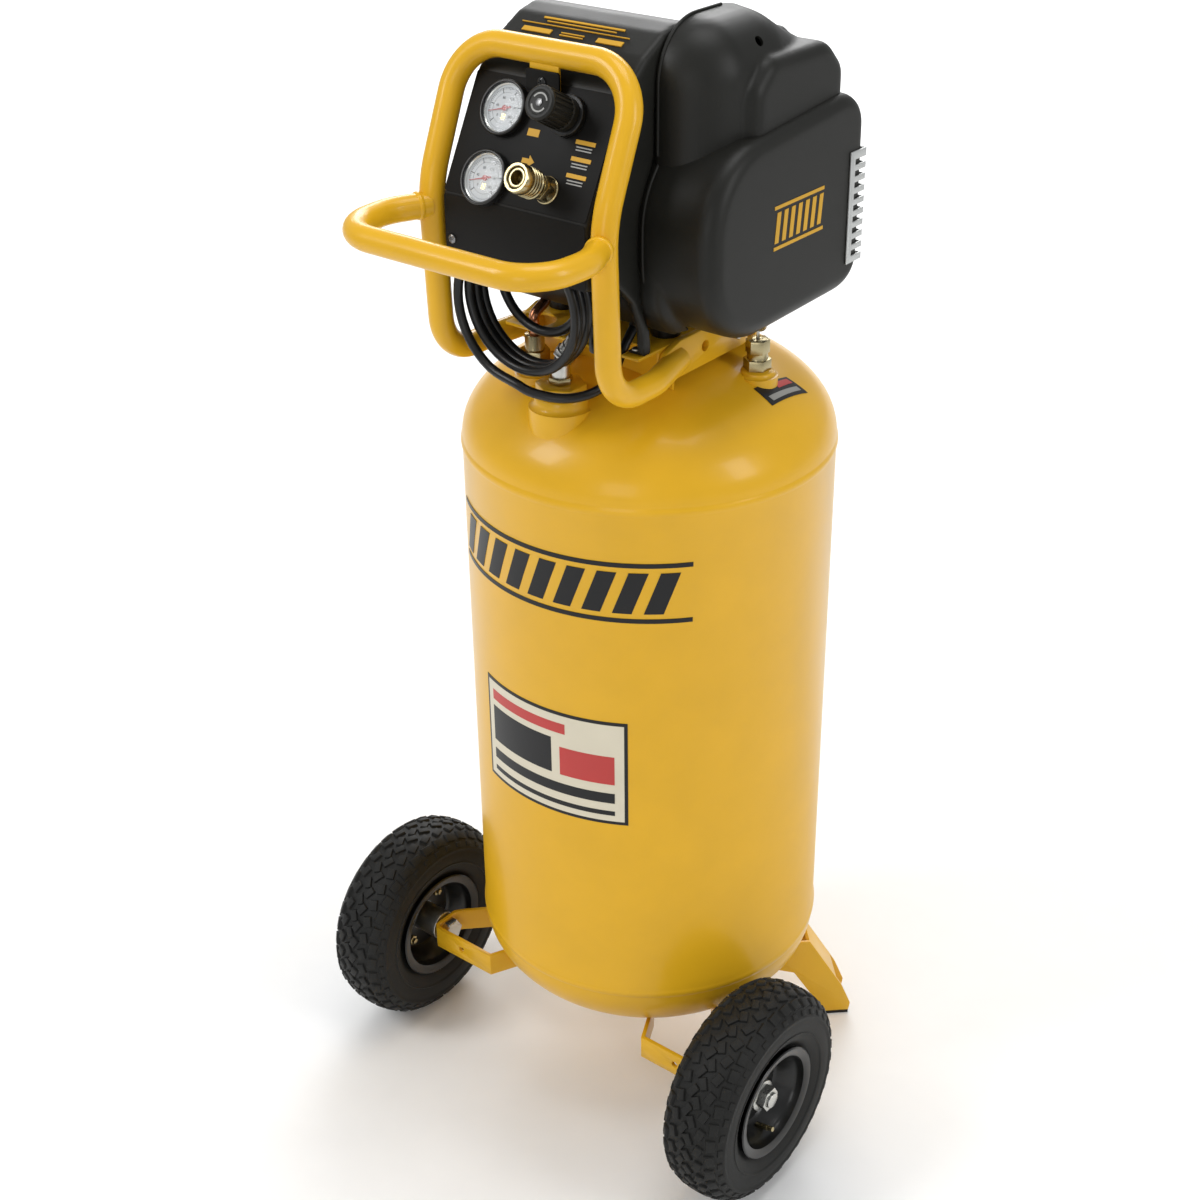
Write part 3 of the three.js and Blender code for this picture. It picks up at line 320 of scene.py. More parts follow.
def pillow(outline, x0, x1, round0, round1, steps=9):
    """An outline of (y, z) extruded along X, its rims rounded inwards.

    A rounding is one radius, or four: front, back, bottom and top.
    """
    outline = even(outline)
    n = len(outline)
    area = sum(
        outline[i][0] * outline[(i + 1) % n][1] - outline[(i + 1) % n][0] * outline[i][1] for i in range(n)
    )
    turn = 1 if area > 0 else -1
    inwards = []
    for i in range(n):
        chord = (Vector(outline[(i + 1) % n]) - Vector(outline[i - 1])).normalized()
        inwards.append(Vector((-chord.y, chord.x)) * turn)

    def radius(rounding, inward):
        if not isinstance(rounding, tuple):
            return rounding
        front, back, bottom, top = rounding
        across = inward.x**2 * (front if inward.x > 0 else back)
        return across + inward.y**2 * (bottom if inward.y > 0 else top)

    quarters = [math.pi / 2 * k / steps for k in range(steps + 1)]
    layers = [(x0, 1, round0, a) for a in quarters] + [(x1, -1, round1, a) for a in reversed(quarters)]
    vertices = []
    for x, side, rounding, a in layers:
        for (y, z), inward in zip(outline, inwards):
            r = radius(rounding, inward)
            inset = r * (1 - math.sin(a))
            deep = r * (1 - math.cos(a))
            vertices.append(Vector((x + side * deep, y + inward.x * inset, z + inward.y * inset)))
    last = (len(layers) - 1) * n
    faces = [tuple(range(n))[::-1], tuple(range(last, last + n))]
    for layer in range(len(layers) - 1):
        for i in range(n):
            j = (i + 1) % n
            faces.append((layer * n + i, layer * n + j, (layer + 1) * n + j, (layer + 1) * n + i))
    return vertices, faces


# ---- pieces ----
def mesh_object(name, shapes):
    """An object that holds the shapes, moved from the tank's axis to the CAD frame and to metres."""
    bm = bmesh.new()
    for vertices, faces in shapes:
        made = [bm.verts.new((v[0] * MM, (v[1] + AXIS_Y) * MM, v[2] * MM)) for v in vertices]
        for face in faces:
            bm.faces.new([made[i] for i in face])
    bmesh.ops.recalc_face_normals(bm, faces=bm.faces)
    mesh = bpy.data.meshes.new(name)
    bm.to_mesh(mesh)
    bm.free()
    made = bpy.data.objects.new(name, mesh)
    bpy.context.scene.collection.objects.link(made)
    return made


def apply_modifiers(piece):
    bpy.context.view_layer.update()
    graph = bpy.context.evaluated_depsgraph_get()
    made = bpy.data.meshes.new_from_object(piece.evaluated_get(graph))
    piece.modifiers.clear()
    piece.data = made


def finish_piece(piece, body, look, bevel=0.0, angle=32, replaces=()):
    """Rounds the edges, smooths the shading below that angle, gives the look and the body."""
    if bevel:
        rounding = piece.modifiers.new("rounding", "BEVEL")
        rounding.width = bevel * MM
        rounding.segments = 2
        rounding.limit_method = "ANGLE"
        rounding.angle_limit = math.radians(angle)
        apply_modifiers(piece)
    piece.data.polygons.foreach_set("use_smooth", [True] * len(piece.data.polygons))
    piece.data.set_sharp_from_angle(angle=math.radians(angle + 8))
    piece.data.materials.clear()
    piece.data.materials.append(look)
    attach(piece, body)
    if replaces:
        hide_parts(*replaces)
    return piece


def piece(name, body, look, shapes, bevel=0.0, angle=32, replaces=()):
    return finish_piece(mesh_object(name, shapes), body, look, bevel, angle, replaces)


def cut(target, *shapes):
    """Removes shapes from a piece."""
    cutter = mesh_object("cutter", shapes)
    removal = target.modifiers.new("removal", "BOOLEAN")
    removal.operation = "DIFFERENCE"
    removal.solver = "EXACT"
    removal.use_self = True
    removal.object = cutter
    apply_modifiers(target)
    bpy.data.objects.remove(cutter)


def body_of_node(node):
    for body, nodes in frame["record"]["behaviour"]["bodies"].items():
        if node in nodes:
            return body
    raise KeyError(node)


WELD_DISTANCE = 0.00002
FLAT_ENOUGH = math.radians(1.5)


def soften(node, look, bevel=0.5, angle=32):
    """A copy of a CAD solid with clean faces and rounded edges, in the solid's own place."""
    source = frame["nodes"][node]
    made = bpy.data.objects.new(node + "_finished", source.data.copy())
    bpy.context.scene.collection.objects.link(made)
    bm = bmesh.new()
    bm.from_mesh(made.data)
    bmesh.ops.remove_doubles(bm, verts=bm.verts, dist=WELD_DISTANCE)
    bmesh.ops.dissolve_limit(bm, angle_limit=FLAT_ENOUGH, verts=bm.verts, edges=bm.edges)
    bm.to_mesh(made.data)
    bm.free()
    return finish_piece(made, body_of_node(node), look, bevel, angle, (node,))


def moulded(name, look, shapes, voxel, rounds, open_below, replaces, wall=2.6, extra_cuts=()):
    """A moulded cover: overlapping forms fused with soft edges, opened underneath and given a wall."""
    cover = mesh_object(name, shapes)
    fuse = cover.modifiers.new("fuse", "REMESH")
    fuse.mode = "VOXEL"
    fuse.voxel_size = voxel * MM
    soft = cover.modifiers.new("soft", "SMOOTH")
    soft.factor = 0.5
    soft.iterations = rounds
    apply_modifiers(cover)
    bm = bmesh.new()
    bm.from_mesh(cover.data)
    gone = [f for f in bm.faces if open_below(f.calc_center_median() / MM - Vector((0, AXIS_Y, 0)), f.normal)]
    bmesh.ops.delete(bm, geom=gone, context="FACES")
    bm.to_mesh(cover.data)
    bm.free()
    shell = cover.modifiers.new("wall", "SOLIDIFY")
    shell.thickness = wall * MM
    shell.offset = -1
    apply_modifiers(cover)
    if extra_cuts:
        cut(cover, *extra_cuts)
    return finish_piece(cover, "machine", look, angle=40, replaces=replaces)


# ---- power cord ----
LEAD_X = 47
CORD_D = 8.5
LEAD = [
    (LEAD_X, -83, 851), (LEAD_X, -92, 842), (LEAD_X + 0.5, -101, 832.5), (49.5, -111, 824),
    (51.5, -122, 817.5), (51, -134, 813), (46.5, -146, 810), (38, -157, 808.5), (27, -165, 808.5),
    (14, -170.5, 810), (3, -173.5, 812),
]
LOOP_X, LOOP_TOP, LOOP_FRONT, LOOP_STEP = -8, 947, -175.2, 8.8
LOOP_R, FIRST_GROWTH, SMALL_R = 60, 5.5, 47
GROWTH_TURNS = 1.2  # the loops shrink to their even size over these turns
LOOPS_END, TURN_STEPS = 3.5, 13
HANG_R, HANG_STEPS, HANG_DRIFT = 60, 6, 0.75
CORD_END = (LOOP_X + HANG_R, -131, 884)


def loop_radius(t):
    if t > LOOPS_END:
        return SMALL_R
    return LOOP_R + FIRST_GROWTH / 2 * (1 + math.cos(math.pi * min(t / GROWTH_TURNS, 1)))


def loop_point(t):
    """A point on the hanging loops: t counts turns from the front loop's bottom, going up its left side."""
    r = loop_radius(t)
    a = -math.pi / 2 - 2 * math.pi * t
    return (LOOP_X + r * math.cos(a), LOOP_FRONT + LOOP_STEP * t, LOOP_TOP - r + r * math.sin(a))


def cord_route():
    loops = [loop_point(i / TURN_STEPS) for i in range(int(LOOPS_END * TURN_STEPS) + 1)]
    small = [loop_point(LOOPS_END + i / TURN_STEPS) for i in range(1, TURN_STEPS + 1)]
    hang = []
    for i in range(1, HANG_STEPS + 1):
        a = math.pi / 2 * (1 - i / HANG_STEPS)
        y = CORD_END[1] - HANG_DRIFT * (HANG_STEPS - i)
        hang.append((LOOP_X + HANG_R * math.cos(a), y, LOOP_TOP - HANG_R + HANG_R * math.sin(a)))
    return [Vector(p) for p in LEAD + loops + small + hang + [CORD_END]]


def smooth_route(points, steps=4):
    """A smooth line through the points."""
    made = []
    for i in range(len(points) - 1):
        before = points[max(i - 1, 0)]
        a, b = points[i], points[i + 1]
        after = points[min(i + 2, len(points) - 1)]
        for k in range(steps):
            t = k / steps
            made.append(
                0.5 * (
                    2 * a + (b - before) * t + (2 * before - 5 * a + 4 * b - after) * t**2
                    + (3 * a - before - 3 * b + after) * t**3
                )
            )
    made.append(points[-1])
    return made


def add_cord():
    route = smooth_route(cord_route())
    data = bpy.data.curves.new("power_cord_run", "CURVE")
    data.dimensions = "3D"
    data.bevel_depth = CORD_D / 2 * MM
    data.bevel_resolution = 4
    data.use_fill_caps = True
    line = data.splines.new("POLY")
    line.points.add(len(route) - 1)
    for point, at in zip(line.points, route):
        point.co = (at.x * MM, (at.y + AXIS_Y) * MM, at.z * MM, 1)
    line.use_smooth = True
    run = bpy.data.objects.new("power_cord_run", data)
    bpy.context.scene.collection.objects.link(run)
    data.materials.append(RUBBER)
    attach(run, "machine")
    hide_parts("power_cord")
    plug = soften("cord_plug", RUBBER, 0.8)


add_cord()
soften("cord_strain_relief", RUBBER, 0.6)


# ---- tank ----
TANK_R = 175
SHELL_BOTTOM, SHELL_TOP = 172, 717
HEAD_RISE = 92
HEAD_STEPS = 26
BEAD_INSET = 5  # the weld beads lie this far inside the shell's ends
OUTLET, SAFETY, CHECK = (0, -126), (107, 19), (-55, -96)  # the collars on the top head, (x, y)
FILM = 0.3  # thickness of a print or a label
ON_SHELL, ON_PRINT, ON_LABEL = 0.35, 0.55, 0.75  # how far each layer of print stands off the shell


def quarter(steps):
    """The angles of a quarter turn in equal steps."""
    return [math.pi / 2 * k / steps for k in range(steps + 1)]


def tank_profile():
    """The tank's outside from the bottom of its axis to the top, with a bead at each seam."""
    bottom = [(TANK_R * math.sin(a), SHELL_BOTTOM - HEAD_RISE * math.cos(a)) for a in quarter(HEAD_STEPS)]
    top = [(TANK_R * math.cos(a), SHELL_TOP + HEAD_RISE * math.sin(a)) for a in quarter(HEAD_STEPS)]
    top[-1] = (0, SHELL_TOP + HEAD_RISE)
    bead = [(0.0, -4.5), (0.7, -3.2), (1.25, -1.4), (1.4, 0.0), (1.25, 1.4), (0.7, 3.2), (0.0, 4.5)]
    lower_bead = [(TANK_R + r, SHELL_BOTTOM + z + BEAD_INSET) for r, z in bead]
    upper_bead = [(TANK_R + r, SHELL_TOP + z - BEAD_INSET) for r, z in bead]
    return bottom + lower_bead + upper_bead + top


def collar(radius, x, y, surface, top, fillet=5):
    """A welded collar: a drum with a concave weld around its foot."""
    curve = [(radius + fillet * (1 - math.sin(a)), surface + fillet * (1 - math.cos(a))) for a in quarter(6)]
    profile = [(0, surface - 25), (radius + fillet, surface - 25), *curve]
    profile += [(radius, top - 1), (radius - 1, top), (0, top)]
    return lathe(profile, (x, y, 0), segments=40)


tank_shapes = [
    lathe(tank_profile(), segments=144),
    collar(24, *OUTLET, 782, 793),
    collar(15, *SAFETY, 790, 795, 4),
    collar(15, *CHECK, 790, 800, 4),
    rod(16, (0, 0, 70), (0, 0, 88), 40),
]
TANK_NODES = ("tank_shell", "tank_top_head", "tank_bottom_head")
piece("tank", "machine", YELLOW, tank_shapes, replaces=TANK_NODES, angle=40)
soften("outlet_bushing", YELLOW, 1.2)


def tank_patch(name, look, start, end, z0, z1, lift=ON_SHELL, steps=40):
    """A thin printed patch wrapped on the shell, between two angles in degrees about the tank's axis."""
    r0, r1 = TANK_R + lift - FILM, TANK_R + lift
    vertices, faces = [], []
    for k in range(steps + 1):
        a = math.radians(start + (end - start) * k / steps)
        for r, z in ((r0, z0), (r1, z0), (r1, z1), (r0, z1)):
            vertices.append(Vector((r * math.cos(a), r * math.sin(a), z)))
    for k in range(steps):
        for i in range(4):
            j = (i + 1) % 4
            faces.append((4 * k + i, 4 * k + j, 4 * k + 4 + j, 4 * k + 4 + i))
    faces += [(3, 2, 1, 0), tuple(4 * steps + i for i in range(4))]
    return piece(name, "machine", look, [(vertices, faces)])


def slanted_bars(name, look, start, end, z0, z1, bars, fill=0.62, slant=5, steps=8):
    """A row of slanted blocks wrapped on the shell."""
    shapes = []
    pitch = (end - start) / bars
    for bar in range(bars):
        vertices, faces = [], []
        for k in range(steps + 1):
            for r in (TANK_R + ON_SHELL - FILM, TANK_R + ON_SHELL):
                for z, lean in ((z0, 0), (z1, slant)):
                    a = math.radians(start + bar * pitch + fill * pitch * k / steps + lean)
                    vertices.append(Vector((r * math.cos(a), r * math.sin(a), z)))
        for k in range(steps):
            for i, j in ((0, 1), (1, 3), (3, 2), (2, 0)):
                faces.append((4 * k + i, 4 * k + j, 4 * k + 4 + j, 4 * k + 4 + i))
        faces += [(0, 1, 3, 2), (4 * steps, 4 * steps + 2, 4 * steps + 3, 4 * steps + 1)]
        shapes.append((vertices, faces))
    return piece(name, "machine", look, shapes)


BANNER = (-129.6, -39.7)  # start and end, in degrees about the tank's axis
tank_patch("banner_line_top", INK, *BANNER, 659, 663.5)
tank_patch("banner_line_bottom", INK, *BANNER, 603.5, 608)
slanted_bars("banner_blocks", INK, BANNER[0] + 1, BANNER[1] - 5, 613, 654, 9)
LABEL = (-114.2, -58.9)
tank_patch("label_border", INK, *LABEL, 383, 497)
tank_patch("label_sheet", CREAM, LABEL[0] + 1.1, LABEL[1] - 1.1, 386.5, 493.5, ON_PRINT)
for name, look, start, end, z0, z1 in [
    ("heading", RED_INK, -110.5, -79, 474, 485), ("block", INK, -110.5, -84, 428, 467),
    ("panel", RED_INK, -81, -63, 428, 459), ("line_1", INK, -110.5, -63, 407, 418),
    ("line_2", INK, -110.5, -63, 393, 398),
]:
    tank_patch("label_" + name, look, start, end, z0, z1, ON_LABEL)


# ---- dome label ----
def dome_point(x, y, lift):
    """The point on the top head over (x, y), lifted off along its normal."""
    r = math.hypot(x, y)
    slope = HEAD_RISE / TANK_R
    root = math.sqrt(max(0.0, 1 - (r / TANK_R) ** 2))
    normal = Vector((slope * x / TANK_R / root, slope * y / TANK_R / root, 1)).normalized()
    return Vector((x, y, SHELL_TOP + HEAD_RISE * root)) + lift * normal


def dome_patch(name, look, corners, lift):
    """A thin sheet on the top head between four corners in plan."""
    a, b, c, d = [Vector(p) for p in corners]
    n = 8
    vertices, faces = [], []
    for level in (lift - FILM, lift):
        for i in range(n + 1):
            for j in range(n + 1):
                p = a.lerp(b, i / n).lerp(d.lerp(c, i / n), j / n)
                vertices.append(dome_point(p.x, p.y, level))
    size = (n + 1) ** 2
    for i in range(n):
        for j in range(n):
            q = (i * (n + 1) + j, (i + 1) * (n + 1) + j, (i + 1) * (n + 1) + j + 1, i * (n + 1) + j + 1)
            faces.append(q)
            faces.append(tuple(size + k for k in reversed(q)))
    rim = [(i * (n + 1), (i + 1) * (n + 1)) for i in range(n)]
    rim += [(n * (n + 1) + j, n * (n + 1) + j + 1) for j in range(n)]
    rim += [((i + 1) * (n + 1) + n, i * (n + 1) + n) for i in range(n)]
    rim += [(j + 1, j) for j in range(n)]
    faces += [(p, q, size + q, size + p) for p, q in rim]
    return piece(name, "machine", look, [(vertices, faces)])


dome_patch("dome_label", INK, [(118, -2), (138, -1), (137, 57), (119, 48)], 0.5)
dome_patch("dome_label_bars", RED_INK, [(121, 24), (127, 25), (126, 48), (121, 45)], 0.7)
dome_patch("dome_label_lines", GREY_INK, [(130, 4), (135, 5), (134, 50), (130, 48)], 0.7)


# ---- sheet metal ----
for side in ("left", "right"):
    soften("axle_bracket_" + side, YELLOW, 0.7)
    soften("rear_leg_" + side, YELLOW, 0.7)
    soften("foot_pad_" + side, TYRE, 0.8)
soften("pump_deck", YELLOW, 0.7)
for node in ("front_left", "front_right", "rear_left", "rear_right"):
    soften("isolator_" + node, RUBBER, 1.2)


# ---- frame tube and handle ----
TUBE_R = 11
FRAME_X = 92.5


def mirrored(half):
    """Half a bent bar's corners on the left, followed by their mirror images."""
    return half + [((-p[0], p[1], p[2]), bend) for p, bend in reversed(half)]


FRAME_RUN = mirrored([
    ((-80, -62, 824), 0), ((-FRAME_X, -112, 821), 60), ((-FRAME_X, -174, 821), 38),
    ((-FRAME_X, -179, 975), 110), ((-FRAME_X, -131, 1088), 44),
])
HANDLE_RUN = mirrored([
    ((-FRAME_X, -182, 959), 0), ((-108, -216, 959), 50), ((-105, -277, 959), 40),
])


def flattened_end(side):
    """The tube's end, pressed flat against the deck's side flange."""
    outline = filleted([(-84, 812), (-68, 807), (40, 807), (40, 841), (-62, 841), (-84, 834)], 7)
    x = 75.4 if side > 0 else -82.2
    place = Matrix(((0, 0, 1, x), (1, 0, 0, 0), (0, 1, 0, 0), (0, 0, 0, 1)))
    return prism(outline, place, 6.8)


ends = piece("frame_tube_ends", "machine", YELLOW, [flattened_end(-1), flattened_end(1)], 1.6)
cut(ends, *[rod(5.2, (side * 60, -26, 825), (side * 100, -26, 825)) for side in (-1, 1)])
finish_piece(ends, "machine", YELLOW)
tab = block(-14, 16, -138.4, -136, 1060, 1082)
frame_shapes = [sweep(bent(FRAME_RUN, 14), TUBE_R, 28), tab]
piece("frame_tube_run", "machine", YELLOW, frame_shapes, replaces=("frame_tube",), angle=40)
handle_shapes = [sweep(bent(HANDLE_RUN, 14), TUBE_R, 28)]
piece("handle_run", "machine", YELLOW, handle_shapes, replaces=("handle_tube",), angle=40)
weld = [(10.6, -3), (11.6, -2), (12.1, 0), (11.7, 1.8), (10.6, 2.6), (10.6, -3)]
for side in (-1, 1):
    word = "right" if side > 0 else "left"
    start = Vector((side * 96.8, -190.6, 959))
    lean = Vector((side * 0.4, -0.92, 0))
    piece("handle_weld_" + word, "machine", YELLOW, [lathe(weld, start, lean, 40)], angle=50)


# ---- covers ----
DRUM = filleted([
    (-87, 1010, 3), (-112, 968, 60), (-112, 880, 45), (-84, 853, 24), (84, 853, 24), (108, 880, 45),
    (108.5, 968, 60), (105, 1010, 3),
])
BULGE = filleted([(-113, 1016, 72), (107.5, 1036, 30), (108.5, 857, 30), (-113, 851, 72)], steps=16)
CROWN = filleted([
    (-93, 962, 2), (-92, 1114, 66), (8, 1114, 44), (50, 1090, 40), (92, 1070, 24), (98, 962, 2),
], steps=16)
BEHIND_CONSOLE = filleted([
    (-88, 1000, 2), (-88, 1044, 20), (-46, 1094, 30), (-14, 1088, 24), (46, 1058, 8), (92, 1032, 20),
    (98, 1000, 2),
])
SECOND = filleted([
    (-47, 1000, 2), (-47, 1058, 22), (-22, 1081, 26), (64, 1080, 26), (88, 1056, 20), (88, 1000, 2),
])
LEDGE = filleted([(26, 1050, 2), (30, 1078, 8), (42, 1088, 8), (64, 1086, 8), (74, 1074, 8), (78, 1050, 2)])


def lower_to_the_right(shape, start=82, fall=0.2, still_below=1030, blend=60):
    """Lets the top of a form fall towards +X, and leaves its foot where it is."""
    vertices, faces = shape
    for v in vertices:
        share = min(1, max(0, (v.z - still_below) / blend))
        v.z -= max(0, v.x - start) * fall * share
    return vertices, faces


CYLINDER_WAY = block(18, 128, -54, 54, 1002, 1044)  # under the upper cover, where the cylinder comes through
AIR_SLOTS = [block(-130, -100, -50, 50, 884 + 15 * i, 891 + 15 * i) for i in range(7)]
SCREW_HOLE = rod(4.5, (132, -17, 1098.5), (114, -17, 1084))


def open_under_motor(p, n):
    return p.z < 864 and n.z < -0.6 and -106 < p.x < 108 and abs(p.y) < 86


def open_at_parting(p, n):
    return p.z < 1008 and n.z < -0.6


moulded(
    "shroud_lower_cover", PLASTIC,
    [pillow(DRUM, -118, 100, 8, 10), pillow(BULGE, 79.5, 151, 3, (16, 7, 16, 12))],
    2.6, 4, open_under_motor, ("shroud_lower",), extra_cuts=AIR_SLOTS + [CYLINDER_WAY],
)
moulded(
    "shroud_upper_cover", PLASTIC,
    [
        pillow(BEHIND_CONSOLE, -76.5, 100, 3, 3),
        lower_to_the_right(pillow(CROWN, 76, 132, 2, (50, 24, 17, 36), 12)),
        pillow(SECOND, 60, 142, 6, (16, 11, 11, 11)),
        pillow(LEDGE, 66, 99, 5, 8),
    ],
    2.4, 3, open_at_parting, ("shroud_upper",), extra_cuts=[SCREW_HOLE],
)


SEAM_X, SEAM_R = 80, 1.5


def seam(name, outline, keep):
    """The raised lip along the front of the shroud, where the console meets it."""
    points = even(outline)
    points = points[len(points) // 2:] + points[: len(points) // 2]
    run = [Vector((SEAM_X, *p)) for p in points if keep(*p)]
    return piece(name, "machine", PLASTIC, [sweep(run, SEAM_R, 10)], angle=60)


seam("shroud_lip_lower", BULGE, lambda y, z: y < -58 and 856 < z < 1004)
seam("shroud_lip_upper", CROWN, lambda y, z: y < -8 and z > 1008)

KNEE = (-181, 972)
LEAN = math.radians(28)
PANEL_UP = Vector((0, math.sin(LEAN), math.cos(LEAN)))
PANEL_OUT = Vector((0, -math.cos(LEAN), math.sin(LEAN)))


def on_panel(x, up, out):
    """A point by its distance up the sloping panel from the knee, and out from it."""
    return Vector((x, *KNEE)) + up * PANEL_UP + out * PANEL_OUT


CONSOLE = filleted([
    (-181, 915), (-181, 972), (-131, 1066), (-105, 1089), (-79, 1103), (-60, 1107.5), (-37, 1106),
    (-77, 1063), (-89.5, 1046), (-89.5, 1008), (-110, 968), (-112, 915),
], 9)
LEG = [
    (-150, 920), (-121, 890), (-110, 862), (-107, 838.4), (-97, 838.4), (-98, 858), (-107.2, 880),
    (-112.5, 920),
]
X_PLACE = Matrix(((0, 0, 1, 0), (1, 0, 0, 0), (0, 1, 0, 0), (0, 0, 0, 1)))
moulded(
    "console_cover_shell", PLASTIC,
    [
        pillow(CONSOLE, -77, 77, 3, 5, 4),
        prism(LEG, Matrix.Translation((70, 0, 0)) @ X_PLACE, 7),
        block(58, 72, -107, -98, 838.4, 841.5),
    ],
    2.0, 2, lambda p, n: p.z < 919 and p.x < 66 and n.z < -0.6, ("console_cover",), 2.4,
)
peg = [rod(7, (-8, -180, 932.5), (-8, -127, 932.5)), block(-15, -1, -131, -127, 928.7, 956.3)]
piece("cord_peg", "machine", PLASTIC, peg, 0.8)
PANEL_TURN = Matrix((
    (1, 0, 0, 0), (0, PANEL_UP.y, PANEL_OUT.y, 0), (0, PANEL_UP.z, PANEL_OUT.z, 0), (0, 0, 0, 1),
))


def upright_place(y):
    """A matrix for prisms drawn in (x, z) on an upright plane and extruded towards -Y."""
    return Matrix(((1, 0, 0, 0), (0, 0, -1, y), (0, 1, 0, 0), (0, 0, 0, 1)))


face_place = Matrix.Translation(on_panel(0, 0, 0.2)) @ PANEL_TURN
face_outline = filleted([(-75.5, 2), (75.5, 2), (75.5, 104.5), (-75.5, 104.5)], 3)
piece("panel_sheet", "machine", PANEL_FACE, [prism(face_outline, face_place, 0.6)], 0.3)
front_outline = filleted([(-75.5, 918), (75.5, 918), (75.5, 972.5), (-75.5, 972.5)], 3)
piece("panel_front_sheet", "machine", PANEL_FACE, [prism(front_outline, upright_place(-180.8), 0.6)], 0.3)
lobe_outline = filleted([
    (-10, 1046), (11, 1046), (11, 1057.5), (18.6, 1058), (18.6, 1075.6), (-16.6, 1075.6), (-16.6, 1058),
    (-10, 1057.5),
], 3)
piece("panel_lobe", "machine", PANEL_FACE, [prism(lobe_outline, upright_place(-139.0), 2.3)], 0.6)
soften("vent_grille", VENT, 0.35)


# ---- gauges ----
GAUGES = {"tank": (-34, 77), "outlet": (-34, 19)}  # where on the panel: x and the distance up it
DIAL_FACE = 2.6
SCALE_START, SCALE_SWEEP = 225, 270  # degrees
MARKS, NUMBERS, NUMBER_STEP = 51, 6, 40
NEEDLE_AT = 196  # degrees, in the photograph


def dial_place(x, up, out, angle=0.0):
    """A matrix on the panel: x to the right, y up the panel, z out of it, turned by the angle."""
    return Matrix.Translation(on_panel(x, up, out)) @ PANEL_TURN @ Matrix.Rotation(angle, 4, "Z")


def scale_angle(share):
    return math.radians(SCALE_START - SCALE_SWEEP * share)


def dial_marks(name, x, up):
    """The short and long marks of the scale, and the two rings they stand between."""
    marks = []
    for i in range(MARKS):
        long_mark = i % 10 == 0
        inner = 13.2 if long_mark else 14.8 if i % 5 == 0 else 15.6
        half = 0.42 if long_mark else 0.2
        place = dial_place(x, up, DIAL_FACE, scale_angle(i / (MARKS - 1)))
        marks.append(block(inner, 17.2, -half, half, 0, 0.12, place))
    for radius in (17.2, 12.9):
        low, high = DIAL_FACE, DIAL_FACE + 0.12
        band = [(radius, low), (radius + 0.2, low), (radius + 0.2, high), (radius, high), (radius, low)]
        marks.append(lathe(band, on_panel(x, up, 0), PANEL_OUT, 64))
    piece(name + "_marks", "machine", INK, marks)


def dial_numbers(name, x, up):
    for i in range(NUMBERS):
        a = scale_angle(i / (NUMBERS - 1))
        text = bpy.data.curves.new(f"{name}_number_{i}", "FONT")
        text.body = str(NUMBER_STEP * i)
        text.size = 3.2 * MM
        text.extrude = 0.05 * MM
        text.align_x = "CENTER"
        text.align_y = "CENTER"
        number = bpy.data.objects.new(f"{name}_number_{i}", text)
        bpy.context.scene.collection.objects.link(number)
        spot = dial_place(x + 9.0 * math.cos(a), up + 9.0 * math.sin(a), 2.75)
        spot.translation = (spot.translation + Vector((0, AXIS_Y, 0))) * MM
        number.matrix_world = spot
        text.materials.append(INK)
        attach(number, "machine")


def gauge(name, x, up):
    at, out = on_panel(x, up, 0), PANEL_OUT
    case = [
        (0, -18), (22.4, -18), (22.4, 0.2), (23, 0.6), (23, 7), (22.2, 8), (20.9, 8), (20.5, 7.4),
        (20.5, 2.2), (0, 2.2),
    ]
    case_shapes = [lathe(case, at, out, 72)]
    piece(name + "_case", "machine", BLACK_PAINT, case_shapes, 0.3, replaces=(name + "_gauge_case",))
    ring = [(20.4, 2.4), (20.4, 4.2), (19.4, 3.4), (19.4, 2.4), (20.4, 2.4)]
    piece(name + "_bezel", "machine", ZINC, [lathe(ring, at, out, 72)])
    face = [(0, 2.3), (19.6, 2.3), (19.6, DIAL_FACE), (0, DIAL_FACE)]
    piece(name + "_dial", "machine", DIAL, [lathe(face, at, out, 72)])
    dial_marks(name, x, up)
    dial_numbers(name, x, up)
    window = block(-2.2, 2.2, -9.5, -4.2, 0, 0.14, dial_place(x, up, DIAL_FACE))
    hub = rod(1.6, on_panel(x, up, DIAL_FACE), on_panel(x, up, 2.8))
    piece(name + "_movement", "machine", BRASS, [window, hub])
    pointer = [(-6, -0.9), (-1, -0.75), (16.2, -0.25), (17, 0), (16.2, 0.25), (-1, 0.75), (-6, 0.9)]
    shapes = [prism(pointer, dial_place(x, up, 3.5, math.radians(NEEDLE_AT)), 0.35)]
    shapes.append(rod(2.3, on_panel(x, up, 2.9), on_panel(x, up, 4.4)))
    piece(name + "_pointer", name + "_needle", RED, shapes, 0.1, replaces=(name + "_gauge_needle",))


for gauge_name, spot in GAUGES.items():
    gauge(gauge_name, *spot)

dome = [(0, 5.8), (10, 5.7), (20.5, 5.0), (20.5, 5.5), (10, 6.2), (0, 6.3)]
for gauge_name, (x, up) in GAUGES.items():
    piece(gauge_name + "_lens", "machine", LENS, [lathe(dome, on_panel(x, up, 0), PANEL_OUT, 64)])


# ---- regulator and coupler ----
KNOB, COUPLER = (31, 81), (30, 21)
KNOB_RIBS = 20
ARC_BLOCKS, ARC_SWEEP = 14, 2.3


